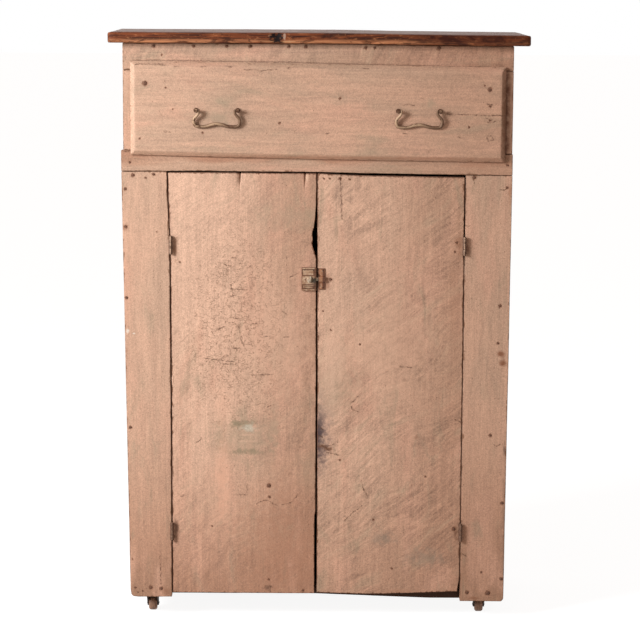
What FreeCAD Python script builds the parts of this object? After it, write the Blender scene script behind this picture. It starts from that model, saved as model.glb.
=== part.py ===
import FreeCAD, Part
import math
import os
import re
import Sketcher

# A jelly cupboard of nailed pine boards: a case with a face frame, one lipped
# drawer over a pair of plank doors, and four swivelling casters.
# +X is to the right, +Y to the back and +Z up. The origin is on the floor
# under the middle of the top. All lengths are in millimetres.

doc = FreeCAD.newDocument("JellyCupboard")
sheet = doc.addObject("Spreadsheet::Sheet", "Sizes")

SIZES = {
    # case
    "case_width": 832,
    "case_depth": 350,
    "case_tall": 1210,
    "side_thick": 20,
    "frame_thick": 20,
    "bottom_thick": 20,
    "bottom_rise": 2,
    "dado_deep": 6,
    "back_thick": 12,
    "back_rabbet": 10,
    "back_gap": 0.8,
    # top
    "top_thick": 23,
    "top_side_over": 34,
    "top_front_over": 22,
    "top_back_over": 8,
    "top_front_wide": 208,
    "top_joint": 0.6,
    "top_round": 6,
    # face frame
    "top_rail_tall": 56,
    "drawer_gap_tall": 173,
    "middle_rail_tall": 45.5,
    "stile_wide": 99,
    "drawer_stile_wide": 28,
    "stile_foot_round": 9,
    # shelves
    "shelf_thick": 18,
    "shelf_set_back": 30,
    "lower_shelf_up": 300,
    "upper_shelf_up": 590,
    "cleat_tall": 28,
    "cleat_thick": 18,
    # doors
    "door_thick": 20,
    "door_side_gap": 2.5,
    "door_middle_gap": 3.5,
    "door_top_gap": 2.5,
    "door_foot_gap": 9,
    "door_stop_gap": 1,
    "batten_thick": 18,
    "batten_tall": 60,
    "batten_short": 30,
    "batten_top_drop": 14,
    "batten_foot_rise": 17,
    "batten_bevel": 5,
    # hinges
    "hinge_tall": 38,
    "hinge_top_drop": 154,
    "hinge_foot_rise": 139,
    "knuckle_radius": 4,
    "knuckle_clear": 0.4,
    "knuckle_gap": 0.3,
    "leaf_thick": 1.2,
    "leaf_deep": 14,
    "pin_radius": 1.7,
    "pin_head_radius": 2.8,
    "pin_head_tall": 1.6,
    "turning_clear": 0.05,
    # drawer
    "lip_side": 12,
    "lip_tall": 13.5,
    "lip_thick": 13,
    "lip_bevel": 9.5,
    "lip_gap": 0.3,
    "tongue_thick": 11,
    "drawer_clear": 2,
    "drawer_run_gap": 0.3,
    "drawer_head_gap": 1,
    "drawer_end_gap": 16,
    "drawer_side_thick": 18,
    "drawer_back_thick": 14,
    "panel_thick": 8,
    "panel_rise": 12,
    "groove_deep": 6,
    # drawer runners
    "runner_wide": 38,
    "runner_tall": 22,
    "guide_tall": 24,
    "guide_clear": 1,
    "kicker_wide": 34,
    "kicker_tall": 22,
    "kicker_drop": 2,
    # bail pulls
    "pull_reach": 215,
    "pull_rise": 88,
    "post_spacing": 88.9,
    "post_stand_off": 10,
    "post_shank_radius": 2.5,
    "post_collar_radius": 5,
    "post_collar_thick": 1.6,
    "post_head_radius": 4,
    "post_head_half": 3,
    "post_hole_clear": 0.1,
    "post_tail_long": 3,
    "nut_wide": 11,
    "nut_thick": 4,
    "bail_wire_radius": 2.9,
    "bail_back_flat": 1.6,
    "bail_pin_radius": 1.5,
    "bail_eye_clear": 0.1,
    "bail_side_gap": 0.3,
    "bail_drop": 34.5,
    "bail_spread": 48.9,
    "bail_shoulder": 8,
    "bail_elbow": 20,
    "bail_foot_in": 3.5,
    "bail_hump_half": 20,
    "bail_hump_tall": 6,
    "bail_shoulder_bend": 10,
    "bail_elbow_bend": 11,
    "bail_foot_bend": 9,
    "bail_hump_bend": 24,
    # cupboard turn
    "latch_up": 707,
    "latch_wide": 32,
    "latch_tall": 50,
    "latch_edge": 2,
    "latch_flange": 2.5,
    "latch_wall": 2,
    "latch_box_tall": 27,
    "latch_rim_tall": 4,
    "latch_rim_proud": 5,
    "bolt_thick": 4,
    "bolt_tall": 7,
    "bolt_tail_tall": 19,
    "bolt_tail_wide": 10,
    "bolt_reach": 7.5,
    "bolt_clear": 0.3,
    "knob_set_in": 14,
    "knob_radius": 7,
    "knob_thick": 6,
    "knob_bevel": 2,
    "knob_neck_radius": 3.2,
    "knob_neck_long": 3,
    "crank_radius": 8,
    "crank_thick": 1.5,
    "crank_throw": 6,
    "crank_pin_radius": 1.4,
    "crank_slot_clear": 0.3,
    "crank_half_travel": 3.44,
    "keeper_wide": 15,
    "keeper_tall": 46,
    "keeper_plate": 1.6,
    "keeper_wall": 1.6,
    # casters
    "caster_height": 48,
    "block_wide": 66,
    "block_tall": 62,
    "socket_flange_radius": 11,
    "socket_flange_thick": 1.5,
    "socket_radius": 5.6,
    "socket_long": 42,
    "socket_clear": 0.1,
    "stem_radius": 4,
    "stem_long": 38,
    "swivel_gap": 0.3,
    "wheel_radius": 16,
    "wheel_wide": 18,
    "wheel_bevel": 3,
    "wheel_gap": 0.5,
    "wheel_crown_gap": 2.5,
    "wheel_bore_clear": 0.1,
    "crown_half": 11,
    "horn_thick": 3,
    "horn_foot_radius": 6,
    "caster_trail": 12,
    "axle_radius": 2.5,
    "axle_proud": 1,
    # how far a cutting tool runs past the face it leaves by
    "cut_past": 1,
}

for row, (alias, value) in enumerate(SIZES.items(), start=1):
    sheet.set(f"A{row}", alias)
    sheet.set(f"B{row}", str(value))
    sheet.setAlias(f"B{row}", alias)
doc.recompute()

BACK_BOARDS = 4
KNUCKLES = 3
LEFT, RIGHT = "left", "right"
SIDES = (LEFT, RIGHT)
SEATS = {}


# ---- rules: sums of named sizes, as text that an expression can hold ----

def filled(rule, fill):
    """The rule with every size's name replaced by what fill makes of it."""
    return re.sub(r"[a-z][a-z_]*", lambda word: fill(word[0]) if word[0] in SIZES else word[0], rule)


def bind(thing, prop, rule):
    """Drive one property of an object from the sheet."""
    thing.setExpression(prop, filled(rule, lambda name: f"Sizes.{name}"))


def number(rule):
    """What a rule comes to with the sheet as it stands."""
    return FreeCAD.Units.Quantity(filled(rule, lambda name: f"({getattr(sheet, name)})")).Value


def minus(rule):
    return f"(-({rule}))"


def hand(side, low, wide):
    """The low X of something drawn on the left side, mirrored if side is RIGHT."""
    return low if side == LEFT else f"(-({low}) - ({wide}))"


def hand_point(side, x):
    return x if side == LEFT else minus(x)


# planes of the case
FRONT = "(-case_depth / 2 + top_front_over / 2 - top_back_over / 2)"
BACK = f"({FRONT} + case_depth)"
FRAME_BACK = f"({FRONT} + frame_thick)"
BACK_IN = f"({BACK} - back_thick)"
CASE_HALF = "(case_width / 2)"
IN_HALF = "(case_width / 2 - side_thick)"
CASE_TOP = "(caster_height + case_tall)"
TOP_RAIL_LOW = f"({CASE_TOP} - top_rail_tall)"
DRAWER_LOW = f"({TOP_RAIL_LOW} - drawer_gap_tall)"
MIDDLE_RAIL_LOW = f"({DRAWER_LOW} - middle_rail_tall)"
BOTTOM_LOW = "(caster_height + bottom_rise)"
BOTTOM_TOP = f"({BOTTOM_LOW} + bottom_thick)"


# ---- makers of the shapes that the pieces share ----

def plane(body, role):
    return next(item for item in body.Origin.OriginFeatures if item.Role == role)


def new_body(name, seat):
    """A body whose own origin stands at the given point of the cupboard."""
    body = doc.addObject("PartDesign::Body", name)
    SEATS[body.Name] = seat
    for axis, rule in zip("xyz", seat):
        bind(body, f"Placement.Base.{axis}", rule)
    return body


def new_sketch(body, name, role):
    sketch = body.newObject("Sketcher::SketchObject", name)
    sketch.AttachmentSupport = [(plane(body, role), "")]
    sketch.MapMode = "FlatFace"
    return sketch


def fix_point(sketch, geometry, end, point):
    """Hold one point of a sketch at two rules measured from its origin."""
    for kind, rule, axis in (("DistanceX", point[0], -2), ("DistanceY", point[1], -1)):
        if number(rule) == 0:
            sketch.addConstraint(Sketcher.Constraint("PointOnObject", geometry, end, axis))
            continue
        index = sketch.addConstraint(Sketcher.Constraint(kind, -1, 1, geometry, end, number(rule)))
        bind(sketch, f"Constraints[{index}]", rule)


def vector(point):
    return FreeCAD.Vector(number(point[0]), number(point[1]), 0)


def outline(body, name, role, points):
    """A closed outline of straight lines, each corner given by two rules."""
    sketch = new_sketch(body, name, role)
    count = len(points)
    for index in range(count):
        ends = vector(points[index]), vector(points[(index + 1) % count])
        sketch.addGeometry(Part.LineSegment(*ends), False)
    for index in range(count):
        sketch.addConstraint(Sketcher.Constraint("Coincident", index, 2, (index + 1) % count, 1))
        fix_point(sketch, index, 1, points[index])
    return sketch


def pad(body, name, sketch, long, reverse=False):
    feature = body.newObject("PartDesign::Pad", name)
    feature.Profile = sketch
    feature.Reversed = reverse
    bind(feature, "Length", long)
    doc.recompute()
    return feature


def board(name, role, seat, size):
    """A sawn board: its broad face is a rectangle, padded to its thickness."""
    across, up, thick = {
        "XY_Plane": (size[0], size[1], size[2]),
        "XZ_Plane": (size[0], size[2], size[1]),
        "YZ_Plane": (size[1], size[2], size[0]),
    }[role]
    body = new_body(name, seat)
    corners = [("0", "0"), (across, "0"), (across, up), ("0", up)]
    sketch = outline(body, f"{name}_face", role, corners)
    pad(body, f"{name}_pad", sketch, thick, reverse=role == "XZ_Plane")
    return body


def place(feature, body, point, turn=None):
    """Stand a feature at a point of the cupboard, inside a body with a seat of its own."""
    if turn:
        feature.Placement = FreeCAD.Placement(FreeCAD.Vector(), turn)
    for axis, rule, seat in zip("xyz", point, SEATS[body.Name]):
        bind(feature, f"Placement.Base.{axis}", f"({rule}) - ({seat})")


def block(body, name, kind, low, size):
    """A box added to a body or cut from it; kind is Additive or Subtractive."""
    feature = body.newObject(f"PartDesign::{kind}Box", name)
    for prop, rule in zip(("Length", "Width", "Height"), size):
        bind(feature, prop, rule)
    place(feature, body, low)
    return feature


ALONG = {
    "X": FreeCAD.Rotation(FreeCAD.Vector(0, 1, 0), 90),
    "Y": FreeCAD.Rotation(FreeCAD.Vector(1, 0, 0), -90),
    "Z": FreeCAD.Rotation(),
}


def round_bar(body, name, kind, along, start, radius, long):
    """A cylinder added or cut, running the positive way along an axis."""
    feature = body.newObject(f"PartDesign::{kind}Cylinder", name)
    bind(feature, "Radius", radius)
    bind(feature, "Height", long)
    place(feature, body, start, ALONG[along])
    return feature


def edges_where(shape, test):
    """Names of the straight edges whose middle point and direction pass a test."""
    names = []
    for index, edge in enumerate(shape.Edges, start=1):
        if not isinstance(edge.Curve, Part.Line):
            continue
        middle = edge.valueAt((edge.FirstParameter + edge.LastParameter) / 2)
        run = edge.tangentAt(edge.FirstParameter)
        if test(middle, run):
            names.append(f"Edge{index}")
    return names


def ease(body, name, kind, prop, rule, test):
    """Fillet or chamfer the edges of a body that pass a test in its own axes."""
    doc.recompute()
    base = body.Tip
    feature = body.newObject(f"PartDesign::{kind}", name)
    feature.Base = (base, edges_where(base.Shape, test))
    bind(feature, prop, rule)
    doc.recompute()
    return feature


def bevel_rims(body, name, rule, rim_radius):
    """Chamfer the circular edges of one radius."""
    doc.recompute()
    base = body.Tip
    rims = [f"Edge{index}" for index, edge in enumerate(base.Shape.Edges, start=1)
            if isinstance(edge.Curve, Part.Circle) and close(edge.Curve.Radius, number(rim_radius))]
    feature = body.newObject("PartDesign::Chamfer", name)
    feature.Base = (base, rims)
    bind(feature, "Size", rule)
    doc.recompute()


def gather(name, pieces):
    """Several loose pieces of one kind, kept as one sub-part."""
    group = doc.addObject("Part::Compound", name)
    group.Links = pieces
    return group


def close(one, other):
    return abs(one - other) < 1e-6


# ---- the case: sides, back, bottom and top ----

def make_side(side):
    """A side board, rabbeted for the back and grooved for the bottom board."""
    name = f"side_{side}"
    low = hand(side, minus(CASE_HALF), "side_thick")
    deep = f"({BACK} - {FRAME_BACK})"
    body = board(name, "YZ_Plane", (low, FRAME_BACK, "caster_height"), ("side_thick", deep, "case_tall"))
    rabbet = hand(side, minus(f"{IN_HALF} + back_rabbet"), "back_rabbet + cut_past")
    block(body, f"{name}_rabbet", "Subtractive",
          (rabbet, BACK_IN, "caster_height - cut_past"),
          ("back_rabbet + cut_past", "back_thick + cut_past", "case_tall + 2 * cut_past"))
    dado = hand(side, minus(f"{IN_HALF} + dado_deep"), "dado_deep + cut_past")
    block(body, f"{name}_dado", "Subtractive",
          (dado, f"{FRAME_BACK} - cut_past", BOTTOM_LOW),
          ("dado_deep + cut_past", f"{BACK_IN} - {FRAME_BACK} + cut_past", "bottom_thick"))


def make_back(index):
    """One of the upright boards that close the back between the rabbets."""
    span = f"(2 * ({IN_HALF} + back_rabbet))"
    wide = f"(({span} - {BACK_BOARDS - 1} * back_gap) / {BACK_BOARDS})"
    low = f"({minus(span)} / 2 + {index} * ({wide} + back_gap))"
    board(f"back_board_{index + 1}", "XZ_Plane", (low, BACK_IN, "caster_height"),
          (wide, "back_thick", "case_tall"))


BLOCK_X = f"({IN_HALF} - block_wide / 2)"
CASTER_Y = {
    "front": f"({FRAME_BACK} + block_wide / 2)",
    "back": f"({BACK_IN} - block_wide / 2)",
}
CORNERS = [(end, side) for end in CASTER_Y for side in SIDES]


def make_bottom():
    """The bottom board, housed in the sides and bored for the caster sockets."""
    half = f"({IN_HALF} + dado_deep)"
    front = f"({FRAME_BACK} + door_stop_gap)"
    body = board("bottom_board", "XY_Plane", (minus(half), front, BOTTOM_LOW),
                 (f"2 * {half}", f"{BACK_IN} - {front}", "bottom_thick"))
    for end, side in CORNERS:
        centre = (hand_point(side, minus(BLOCK_X)), CASTER_Y[end], f"{BOTTOM_LOW} - cut_past")
        round_bar(body, f"bottom_bore_{end}_{side}", "Subtractive", "Z", centre,
                  "socket_radius + socket_clear", "bottom_thick + 2 * cut_past")


def make_top(part):
    """One of the two boards of the top, with its outer edges worn round."""
    name = f"top_board_{part}"
    half = f"({CASE_HALF} + top_side_over)"
    front = f"({FRONT} - top_front_over)"
    if part == "back":
        deep = f"({BACK} + top_back_over - {front} - top_front_wide - top_joint)"
        front = f"({front} + top_front_wide + top_joint)"
    else:
        deep = "top_front_wide"
    body = board(name, "XY_Plane", (minus(half), front, CASE_TOP), (f"2 * {half}", deep, "top_thick"))
    joint = number(deep) if part == "front" else 0
    ease(body, f"{name}_round", "Fillet", "Radius", "top_round",
         lambda middle, run: not close(middle.y, joint) and abs(run.z) < 0.5)


for side in SIDES:
    make_side(side)
for index in range(BACK_BOARDS):
    make_back(index)
make_bottom()
make_top("front")
make_top("back")


# ---- the face frame: two rails, two long stiles and two short ones ----

HINGE_LEVELS = {
    "top": f"({MIDDLE_RAIL_LOW} - door_top_gap - hinge_top_drop)",
    "foot": "(caster_height + door_foot_gap + hinge_foot_rise)",
}
OPENING_HALF = "(case_width / 2 - stile_wide)"
AXIS_X = f"({OPENING_HALF} - door_side_gap / 2)"
AXIS_Y = f"({FRONT} - knuckle_radius - knuckle_clear)"


def cut_mortises(body, name, side, low):
    """Seats for two hinge leaves, let into an upright edge; low is on the left side."""
    for level, centre in HINGE_LEVELS.items():
        block(body, f"{name}_mortise_{level}", "Subtractive",
              (hand(side, low, "leaf_thick + cut_past"), f"{FRONT} - cut_past", f"{centre} - hinge_tall / 2"),
              ("leaf_thick + cut_past", "leaf_deep + cut_past", "hinge_tall"))


def make_rail(name, low, tall):
    board(name, "XZ_Plane", (minus(CASE_HALF), FRONT, low), ("case_width", "frame_thick", tall))


def make_stile(side):
    """A long stile beside the doors, worn round at its outer foot."""
    name = f"stile_{side}"
    low = hand(side, minus(CASE_HALF), "stile_wide")
    tall = f"({MIDDLE_RAIL_LOW} - caster_height)"
    body = board(name, "XZ_Plane", (low, FRONT, "caster_height"), ("stile_wide", "frame_thick", tall))
    outer = 0 if side == LEFT else number("stile_wide")
    ease(body, f"{name}_foot", "Fillet", "Radius", "stile_foot_round",
         lambda middle, run: close(middle.x, outer) and close(middle.z, 0) and abs(run.y) > 0.5)
    cut_mortises(body, name, side, minus(f"{OPENING_HALF} + leaf_thick"))


def make_drawer_stile(side):
    low = hand(side, minus(CASE_HALF), "drawer_stile_wide")
    board(f"drawer_stile_{side}", "XZ_Plane", (low, FRONT, DRAWER_LOW),
          ("drawer_stile_wide", "frame_thick", "drawer_gap_tall"))


make_rail("top_rail", TOP_RAIL_LOW, "top_rail_tall")
make_rail("middle_rail", MIDDLE_RAIL_LOW, "middle_rail_tall")
for side in SIDES:
    make_stile(side)
    make_drawer_stile(side)


# ---- inside the case: shelves on cleats, and what the drawer runs on ----

SHELF_LOW = {
    "lower": f"({BOTTOM_TOP} + lower_shelf_up)",
    "upper": f"({BOTTOM_TOP} + upper_shelf_up)",
}
SHELF_FRONT = f"({FRAME_BACK} + shelf_set_back)"


def make_shelf(level):
    board(f"shelf_{level}", "XY_Plane", (minus(IN_HALF), SHELF_FRONT, SHELF_LOW[level]),
          (f"2 * {IN_HALF}", f"{BACK_IN} - {SHELF_FRONT}", "shelf_thick"))


def make_cleat(level, side):
    """A strip nailed to the side for a shelf to rest on, its lower front corner sawn off."""
    body = new_body(f"cleat_{level}_{side}",
                    (hand(side, minus(IN_HALF), "cleat_thick"), SHELF_FRONT,
                     f"{SHELF_LOW[level]} - cleat_tall"))
    long = f"({BACK_IN} - {SHELF_FRONT})"
    corners = [("cleat_tall / 2", "0"), (long, "0"), (long, "cleat_tall"), ("0", "cleat_tall"),
               ("0", "cleat_tall / 2")]
    sketch = outline(body, f"cleat_face_{level}_{side}", "YZ_Plane", corners)
    pad(body, f"cleat_pad_{level}_{side}", sketch, "cleat_thick")
    return body


DRAWER_HALF = "(case_width / 2 - drawer_stile_wide - drawer_clear)"
RUN_LONG = f"({BACK_IN} - {FRAME_BACK})"


def make_runner(side):
    """A runner under one drawer side, with the guide that keeps it straight."""
    body = new_body(f"runner_{side}",
                    (hand_point(side, minus(IN_HALF)), FRAME_BACK, f"{DRAWER_LOW} - runner_tall"))
    guide = f"({IN_HALF} - {DRAWER_HALF} - guide_clear)"
    top = "(runner_tall + guide_tall)"
    corners = [("0", "0"), ("runner_wide", "0"), ("runner_wide", "runner_tall"), (guide, "runner_tall"),
               (guide, top), ("0", top)]
    if side == RIGHT:
        corners = [(x if x == "0" else minus(x), z) for x, z in corners]
    sketch = outline(body, f"runner_end_{side}", "XZ_Plane", corners)
    pad(body, f"runner_pad_{side}", sketch, RUN_LONG, reverse=True)
    return body


KICKER_LOW = f"({TOP_RAIL_LOW} - kicker_drop)"


def make_kicker(side):
    """A strip over one drawer side, which stops the drawer tipping as it comes out."""
    return board(f"kicker_{side}", "XZ_Plane",
                 (hand(side, minus(IN_HALF), "kicker_wide"), FRAME_BACK, KICKER_LOW),
                 ("kicker_wide", RUN_LONG, "kicker_tall"))


for level in SHELF_LOW:
    make_shelf(level)
gather("shelf_cleats", [make_cleat(level, side) for level in SHELF_LOW for side in SIDES])
gather("drawer_runners", [make_runner(side) for side in SIDES])
gather("drawer_kickers", [make_kicker(side) for side in SIDES])


# ---- butt hinges: interleaved knuckles on a headed pin ----

def make_leaf(side, level, owner):
    """One leaf. The case's leaf has the odd knuckles and the door's has the even ones."""
    name = f"{owner}_leaf_{level}_{side}"
    foot = f"({HINGE_LEVELS[level]} - hinge_tall / 2)"
    axis_x = hand_point(side, minus(AXIS_X))
    body = new_body(name, (axis_x, AXIS_Y, foot))
    if owner == "case":
        low = hand(side, minus(f"{OPENING_HALF} + leaf_thick"), "leaf_thick")
    else:
        low = hand(side, minus(f"{OPENING_HALF} - door_side_gap"), "leaf_thick")
    block(body, f"{name}_plate", "Additive", (low, FRONT, foot), ("leaf_thick", "leaf_deep", "hinge_tall"))
    step = f"(hinge_tall / {KNUCKLES})"
    first = 0 if owner == "case" else 1
    for index in range(first, KNUCKLES, 2):
        start = f"({foot} + {index} * {step} + knuckle_gap / 2)"
        block(body, f"{name}_neck_{index}", "Additive", (low, AXIS_Y, start),
              ("leaf_thick", "knuckle_radius + knuckle_clear", f"{step} - knuckle_gap"))
        round_bar(body, f"{name}_knuckle_{index}", "Additive", "Z", (axis_x, AXIS_Y, start),
                  "knuckle_radius", f"{step} - knuckle_gap")
    round_bar(body, f"{name}_bore", "Subtractive", "Z", (axis_x, AXIS_Y, f"{foot} - cut_past"),
              "pin_radius + turning_clear", "hinge_tall + 2 * cut_past")
    return body


def make_pin(side, level):
    """A hinge pin with a flat head above the knuckles."""
    foot = f"({HINGE_LEVELS[level]} - hinge_tall / 2)"
    axis = (hand_point(side, minus(AXIS_X)), AXIS_Y)
    name = f"pin_{level}_{side}"
    body = new_body(name, (*axis, foot))
    round_bar(body, f"{name}_shaft", "Additive", "Z", (*axis, foot), "pin_radius", "hinge_tall")
    round_bar(body, f"{name}_head", "Additive", "Z", (*axis, f"{foot} + hinge_tall - knuckle_gap / 2"),
              "pin_head_radius", "pin_head_tall")
    return body


HINGES = [(side, level) for side in SIDES for level in HINGE_LEVELS]
gather("hinge_leaves_case", [make_leaf(side, level, "case") for side, level in HINGES])
gather("hinge_pins", [make_pin(side, level) for side, level in HINGES])
for side in SIDES:
    gather(f"hinge_leaves_{side}", [make_leaf(side, level, "door") for level in HINGE_LEVELS])


# ---- doors: one wide board each, held flat by two battens ----

DOOR_WIDE = f"({OPENING_HALF} - door_side_gap - door_middle_gap / 2)"
DOOR_LOW = "(caster_height + door_foot_gap)"
DOOR_TALL = f"({MIDDLE_RAIL_LOW} - door_top_gap - {DOOR_LOW})"
DOOR_EDGE = f"({OPENING_HALF} - door_side_gap)"


def make_door(side):
    name = f"door_board_{side}"
    low = hand(side, minus(DOOR_EDGE), DOOR_WIDE)
    body = board(name, "XZ_Plane", (low, FRONT, DOOR_LOW), (DOOR_WIDE, "door_thick", DOOR_TALL))
    cut_mortises(body, name, side, minus(f"{DOOR_EDGE} + cut_past"))


def make_batten(side, level):
    """A batten across the back of a door, bevelled along its inner edges."""
    low = {
        "top": f"({DOOR_LOW} + {DOOR_TALL} - batten_top_drop - batten_tall)",
        "foot": f"({DOOR_LOW} + batten_foot_rise)",
    }[level]
    wide = f"({DOOR_WIDE} - 2 * batten_short)"
    name = f"batten_{level}_{side}"
    body = board(name, "XZ_Plane",
                 (hand(side, minus(f"{DOOR_EDGE} - batten_short"), wide), f"{FRONT} + door_thick", low),
                 (wide, "batten_thick", "batten_tall"))
    inner = number("batten_thick")
    ease(body, f"{name}_bevel", "Chamfer", "Size", "batten_bevel",
         lambda middle, run: close(middle.y, inner) and abs(run.x) > 0.5)
    return body


for side in SIDES:
    make_door(side)
    gather(f"door_battens_{side}", [make_batten(side, level) for level in ("top", "foot")])


# ---- the drawer: a lipped, bevelled front nailed to a plain box ----

LIP_BACK = f"({FRONT} - lip_gap)"
LIP_FRONT = f"({LIP_BACK} - lip_thick)"
LIP_HALF = f"({CASE_HALF} - drawer_stile_wide + lip_side)"
LIP_LOW = f"({DRAWER_LOW} - lip_tall)"
LIP_TALL = "(drawer_gap_tall + 2 * lip_tall)"
BOX_LOW = f"({DRAWER_LOW} + drawer_run_gap)"
BOX_TALL = f"({KICKER_LOW} - drawer_head_gap - {BOX_LOW})"
BOX_IN_HALF = f"({DRAWER_HALF} - drawer_side_thick)"
TONGUE_BACK = f"({LIP_BACK} + tongue_thick)"
PANEL_LOW = f"({BOX_LOW} + panel_rise)"
PANEL_FRONT = f"({TONGUE_BACK} - groove_deep)"
BOX_END = f"({BACK_IN} - drawer_end_gap)"
BOX_LONG = f"({BOX_END} - {LIP_BACK})"
PULL_Z = f"({DRAWER_LOW} + pull_rise)"
POSTS = [(side, reach) for side in SIDES for reach in ("+", "-")]


def post_x(side, reach):
    """Where a pull's post stands: + is its outer post and - its inner one."""
    return hand_point(side, minus(f"pull_reach {reach} post_spacing / 2"))


def make_drawer_front():
    body = board("drawer_front", "XZ_Plane", (minus(LIP_HALF), LIP_FRONT, LIP_LOW),
                 (f"2 * {LIP_HALF}", "lip_thick", LIP_TALL))
    ease(body, "drawer_front_bevel", "Chamfer", "Size", "lip_bevel",
         lambda middle, run: close(middle.y, 0) and abs(run.y) < 0.5)
    block(body, "drawer_front_tongue", "Additive", (minus(BOX_IN_HALF), LIP_BACK, BOX_LOW),
          (f"2 * {BOX_IN_HALF}", "tongue_thick", BOX_TALL))
    block(body, "drawer_front_groove", "Subtractive",
          (f"{minus(BOX_IN_HALF)} - cut_past", PANEL_FRONT, PANEL_LOW),
          (f"2 * {BOX_IN_HALF} + 2 * cut_past", "groove_deep + cut_past", "panel_thick"))
    for side, reach in POSTS:
        start = (post_x(side, reach), f"{LIP_FRONT} - cut_past", PULL_Z)
        end = "outer" if reach == "+" else "inner"
        round_bar(body, f"drawer_front_bore_{end}_{side}", "Subtractive", "Y", start,
                  "post_shank_radius + post_hole_clear", "lip_thick + tongue_thick + 2 * cut_past")


def make_drawer_side(side):
    name = f"drawer_side_{side}"
    body = board(name, "YZ_Plane",
                 (hand(side, minus(DRAWER_HALF), "drawer_side_thick"), LIP_BACK, BOX_LOW),
                 ("drawer_side_thick", BOX_LONG, BOX_TALL))
    groove = hand(side, minus(f"{BOX_IN_HALF} + groove_deep"), "groove_deep + cut_past")
    block(body, f"{name}_groove", "Subtractive", (groove, PANEL_FRONT, PANEL_LOW),
          ("groove_deep + cut_past", f"{BOX_END} - {PANEL_FRONT} + cut_past", "panel_thick"))


def make_drawer_back():
    low = f"({PANEL_LOW} + panel_thick)"
    board("drawer_back", "XZ_Plane", (minus(BOX_IN_HALF), f"{BOX_END} - drawer_back_thick", low),
          (f"2 * {BOX_IN_HALF}", "drawer_back_thick", f"{BOX_LOW} + {BOX_TALL} - {low}"))


def make_drawer_bottom():
    half = f"({BOX_IN_HALF} + groove_deep)"
    board("drawer_bottom", "XY_Plane", (minus(half), PANEL_FRONT, PANEL_LOW),
          (f"2 * {half}", f"{BOX_END} - {PANEL_FRONT}", "panel_thick"))


make_drawer_front()
for side in SIDES:
    make_drawer_side(side)
make_drawer_back()
make_drawer_bottom()


# ---- swan-neck bail pulls ----

PIVOT_Y = f"({LIP_FRONT} - post_stand_off)"


def make_post(side, reach):
    """A post: a bolt through the drawer front, with a pierced barrel for the bail to hang in."""
    end = "outer" if reach == "+" else "inner"
    name = f"post_{end}_{side}"
    x = post_x(side, reach)
    body = new_body(name, (x, PIVOT_Y, PULL_Z))
    shank = "(post_stand_off + lip_thick + tongue_thick + nut_thick + post_tail_long)"
    round_bar(body, f"{name}_shank", "Additive", "Y", (x, PIVOT_Y, PULL_Z), "post_shank_radius", shank)
    round_bar(body, f"{name}_collar", "Additive", "Y", (x, f"{LIP_FRONT} - post_collar_thick", PULL_Z),
              "post_collar_radius", "post_collar_thick")
    barrel = (f"{x} - post_head_half", PIVOT_Y, PULL_Z)
    round_bar(body, f"{name}_barrel", "Additive", "X", barrel, "post_head_radius", "2 * post_head_half")
    round_bar(body, f"{name}_eye", "Subtractive", "X",
              (f"{x} - post_head_half - cut_past", PIVOT_Y, PULL_Z),
              "bail_pin_radius + bail_eye_clear", "2 * (post_head_half + cut_past)")
    return body


def make_nut(side, reach):
    """A square nut inside the drawer."""
    end = "outer" if reach == "+" else "inner"
    name = f"nut_{end}_{side}"
    x = post_x(side, reach)
    low = (f"{x} - nut_wide / 2", TONGUE_BACK, f"{PULL_Z} - nut_wide / 2")
    body = board(name, "XZ_Plane", low, ("nut_wide", "nut_thick", "nut_wide"))
    round_bar(body, f"{name}_bore", "Subtractive", "Y", (x, f"{TONGUE_BACK} - cut_past", PULL_Z),
              "post_shank_radius + post_hole_clear", "nut_thick + 2 * cut_past")
    return body


BAIL_TOP_X = "(post_spacing / 2 - post_head_half - bail_side_gap - bail_wire_radius)"


def bend_path(sketch, points, bends):
    """A path of straight runs with a tangent arc at each corner between its ends."""
    corners = [vector(point) for point in points]
    arcs = []
    for before, corner, after, bend in zip(corners, corners[1:], corners[2:], bends):
        come = (corner - before).normalize()
        leave = (after - corner).normalize()
        half = come.getAngle(leave) / 2
        inward = (leave - come).normalize()
        reach = number(bend) * math.tan(half)
        centre = corner + inward * (number(bend) / math.cos(half))
        arcs.append((corner - come * reach, centre - inward * number(bend), corner + leave * reach))
    start = corners[0]
    runs, turns = [], []
    for first, middle, last in arcs:
        runs.append(sketch.addGeometry(Part.LineSegment(start, first), False))
        turns.append(sketch.addGeometry(Part.Arc(first, middle, last), False))
        start = last
    runs.append(sketch.addGeometry(Part.LineSegment(start, corners[-1]), False))
    fix_point(sketch, runs[0], 1, points[0])
    fix_point(sketch, runs[-1], 2, points[-1])
    for index, turn in enumerate(turns):
        begins = (sketch.getPoint(turn, 1) - arcs[index][0]).Length < 1e-6
        near, far = (1, 2) if begins else (2, 1)
        sketch.addConstraint(Sketcher.Constraint("Tangent", runs[index], 2, turn, near))
        sketch.addConstraint(Sketcher.Constraint("Tangent", turn, far, runs[index + 1], 1))
        radius = sketch.addConstraint(Sketcher.Constraint("Radius", turn, number(bends[index])))
        bind(sketch, f"Constraints[{radius}]", bends[index])
        mark = sketch.addGeometry(Part.Point(corners[index + 1]), True)
        fix_point(sketch, mark, 1, points[index + 1])
        for run in (runs[index], runs[index + 1]):
            sketch.addConstraint(Sketcher.Constraint("PointOnObject", mark, 1, run))


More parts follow.
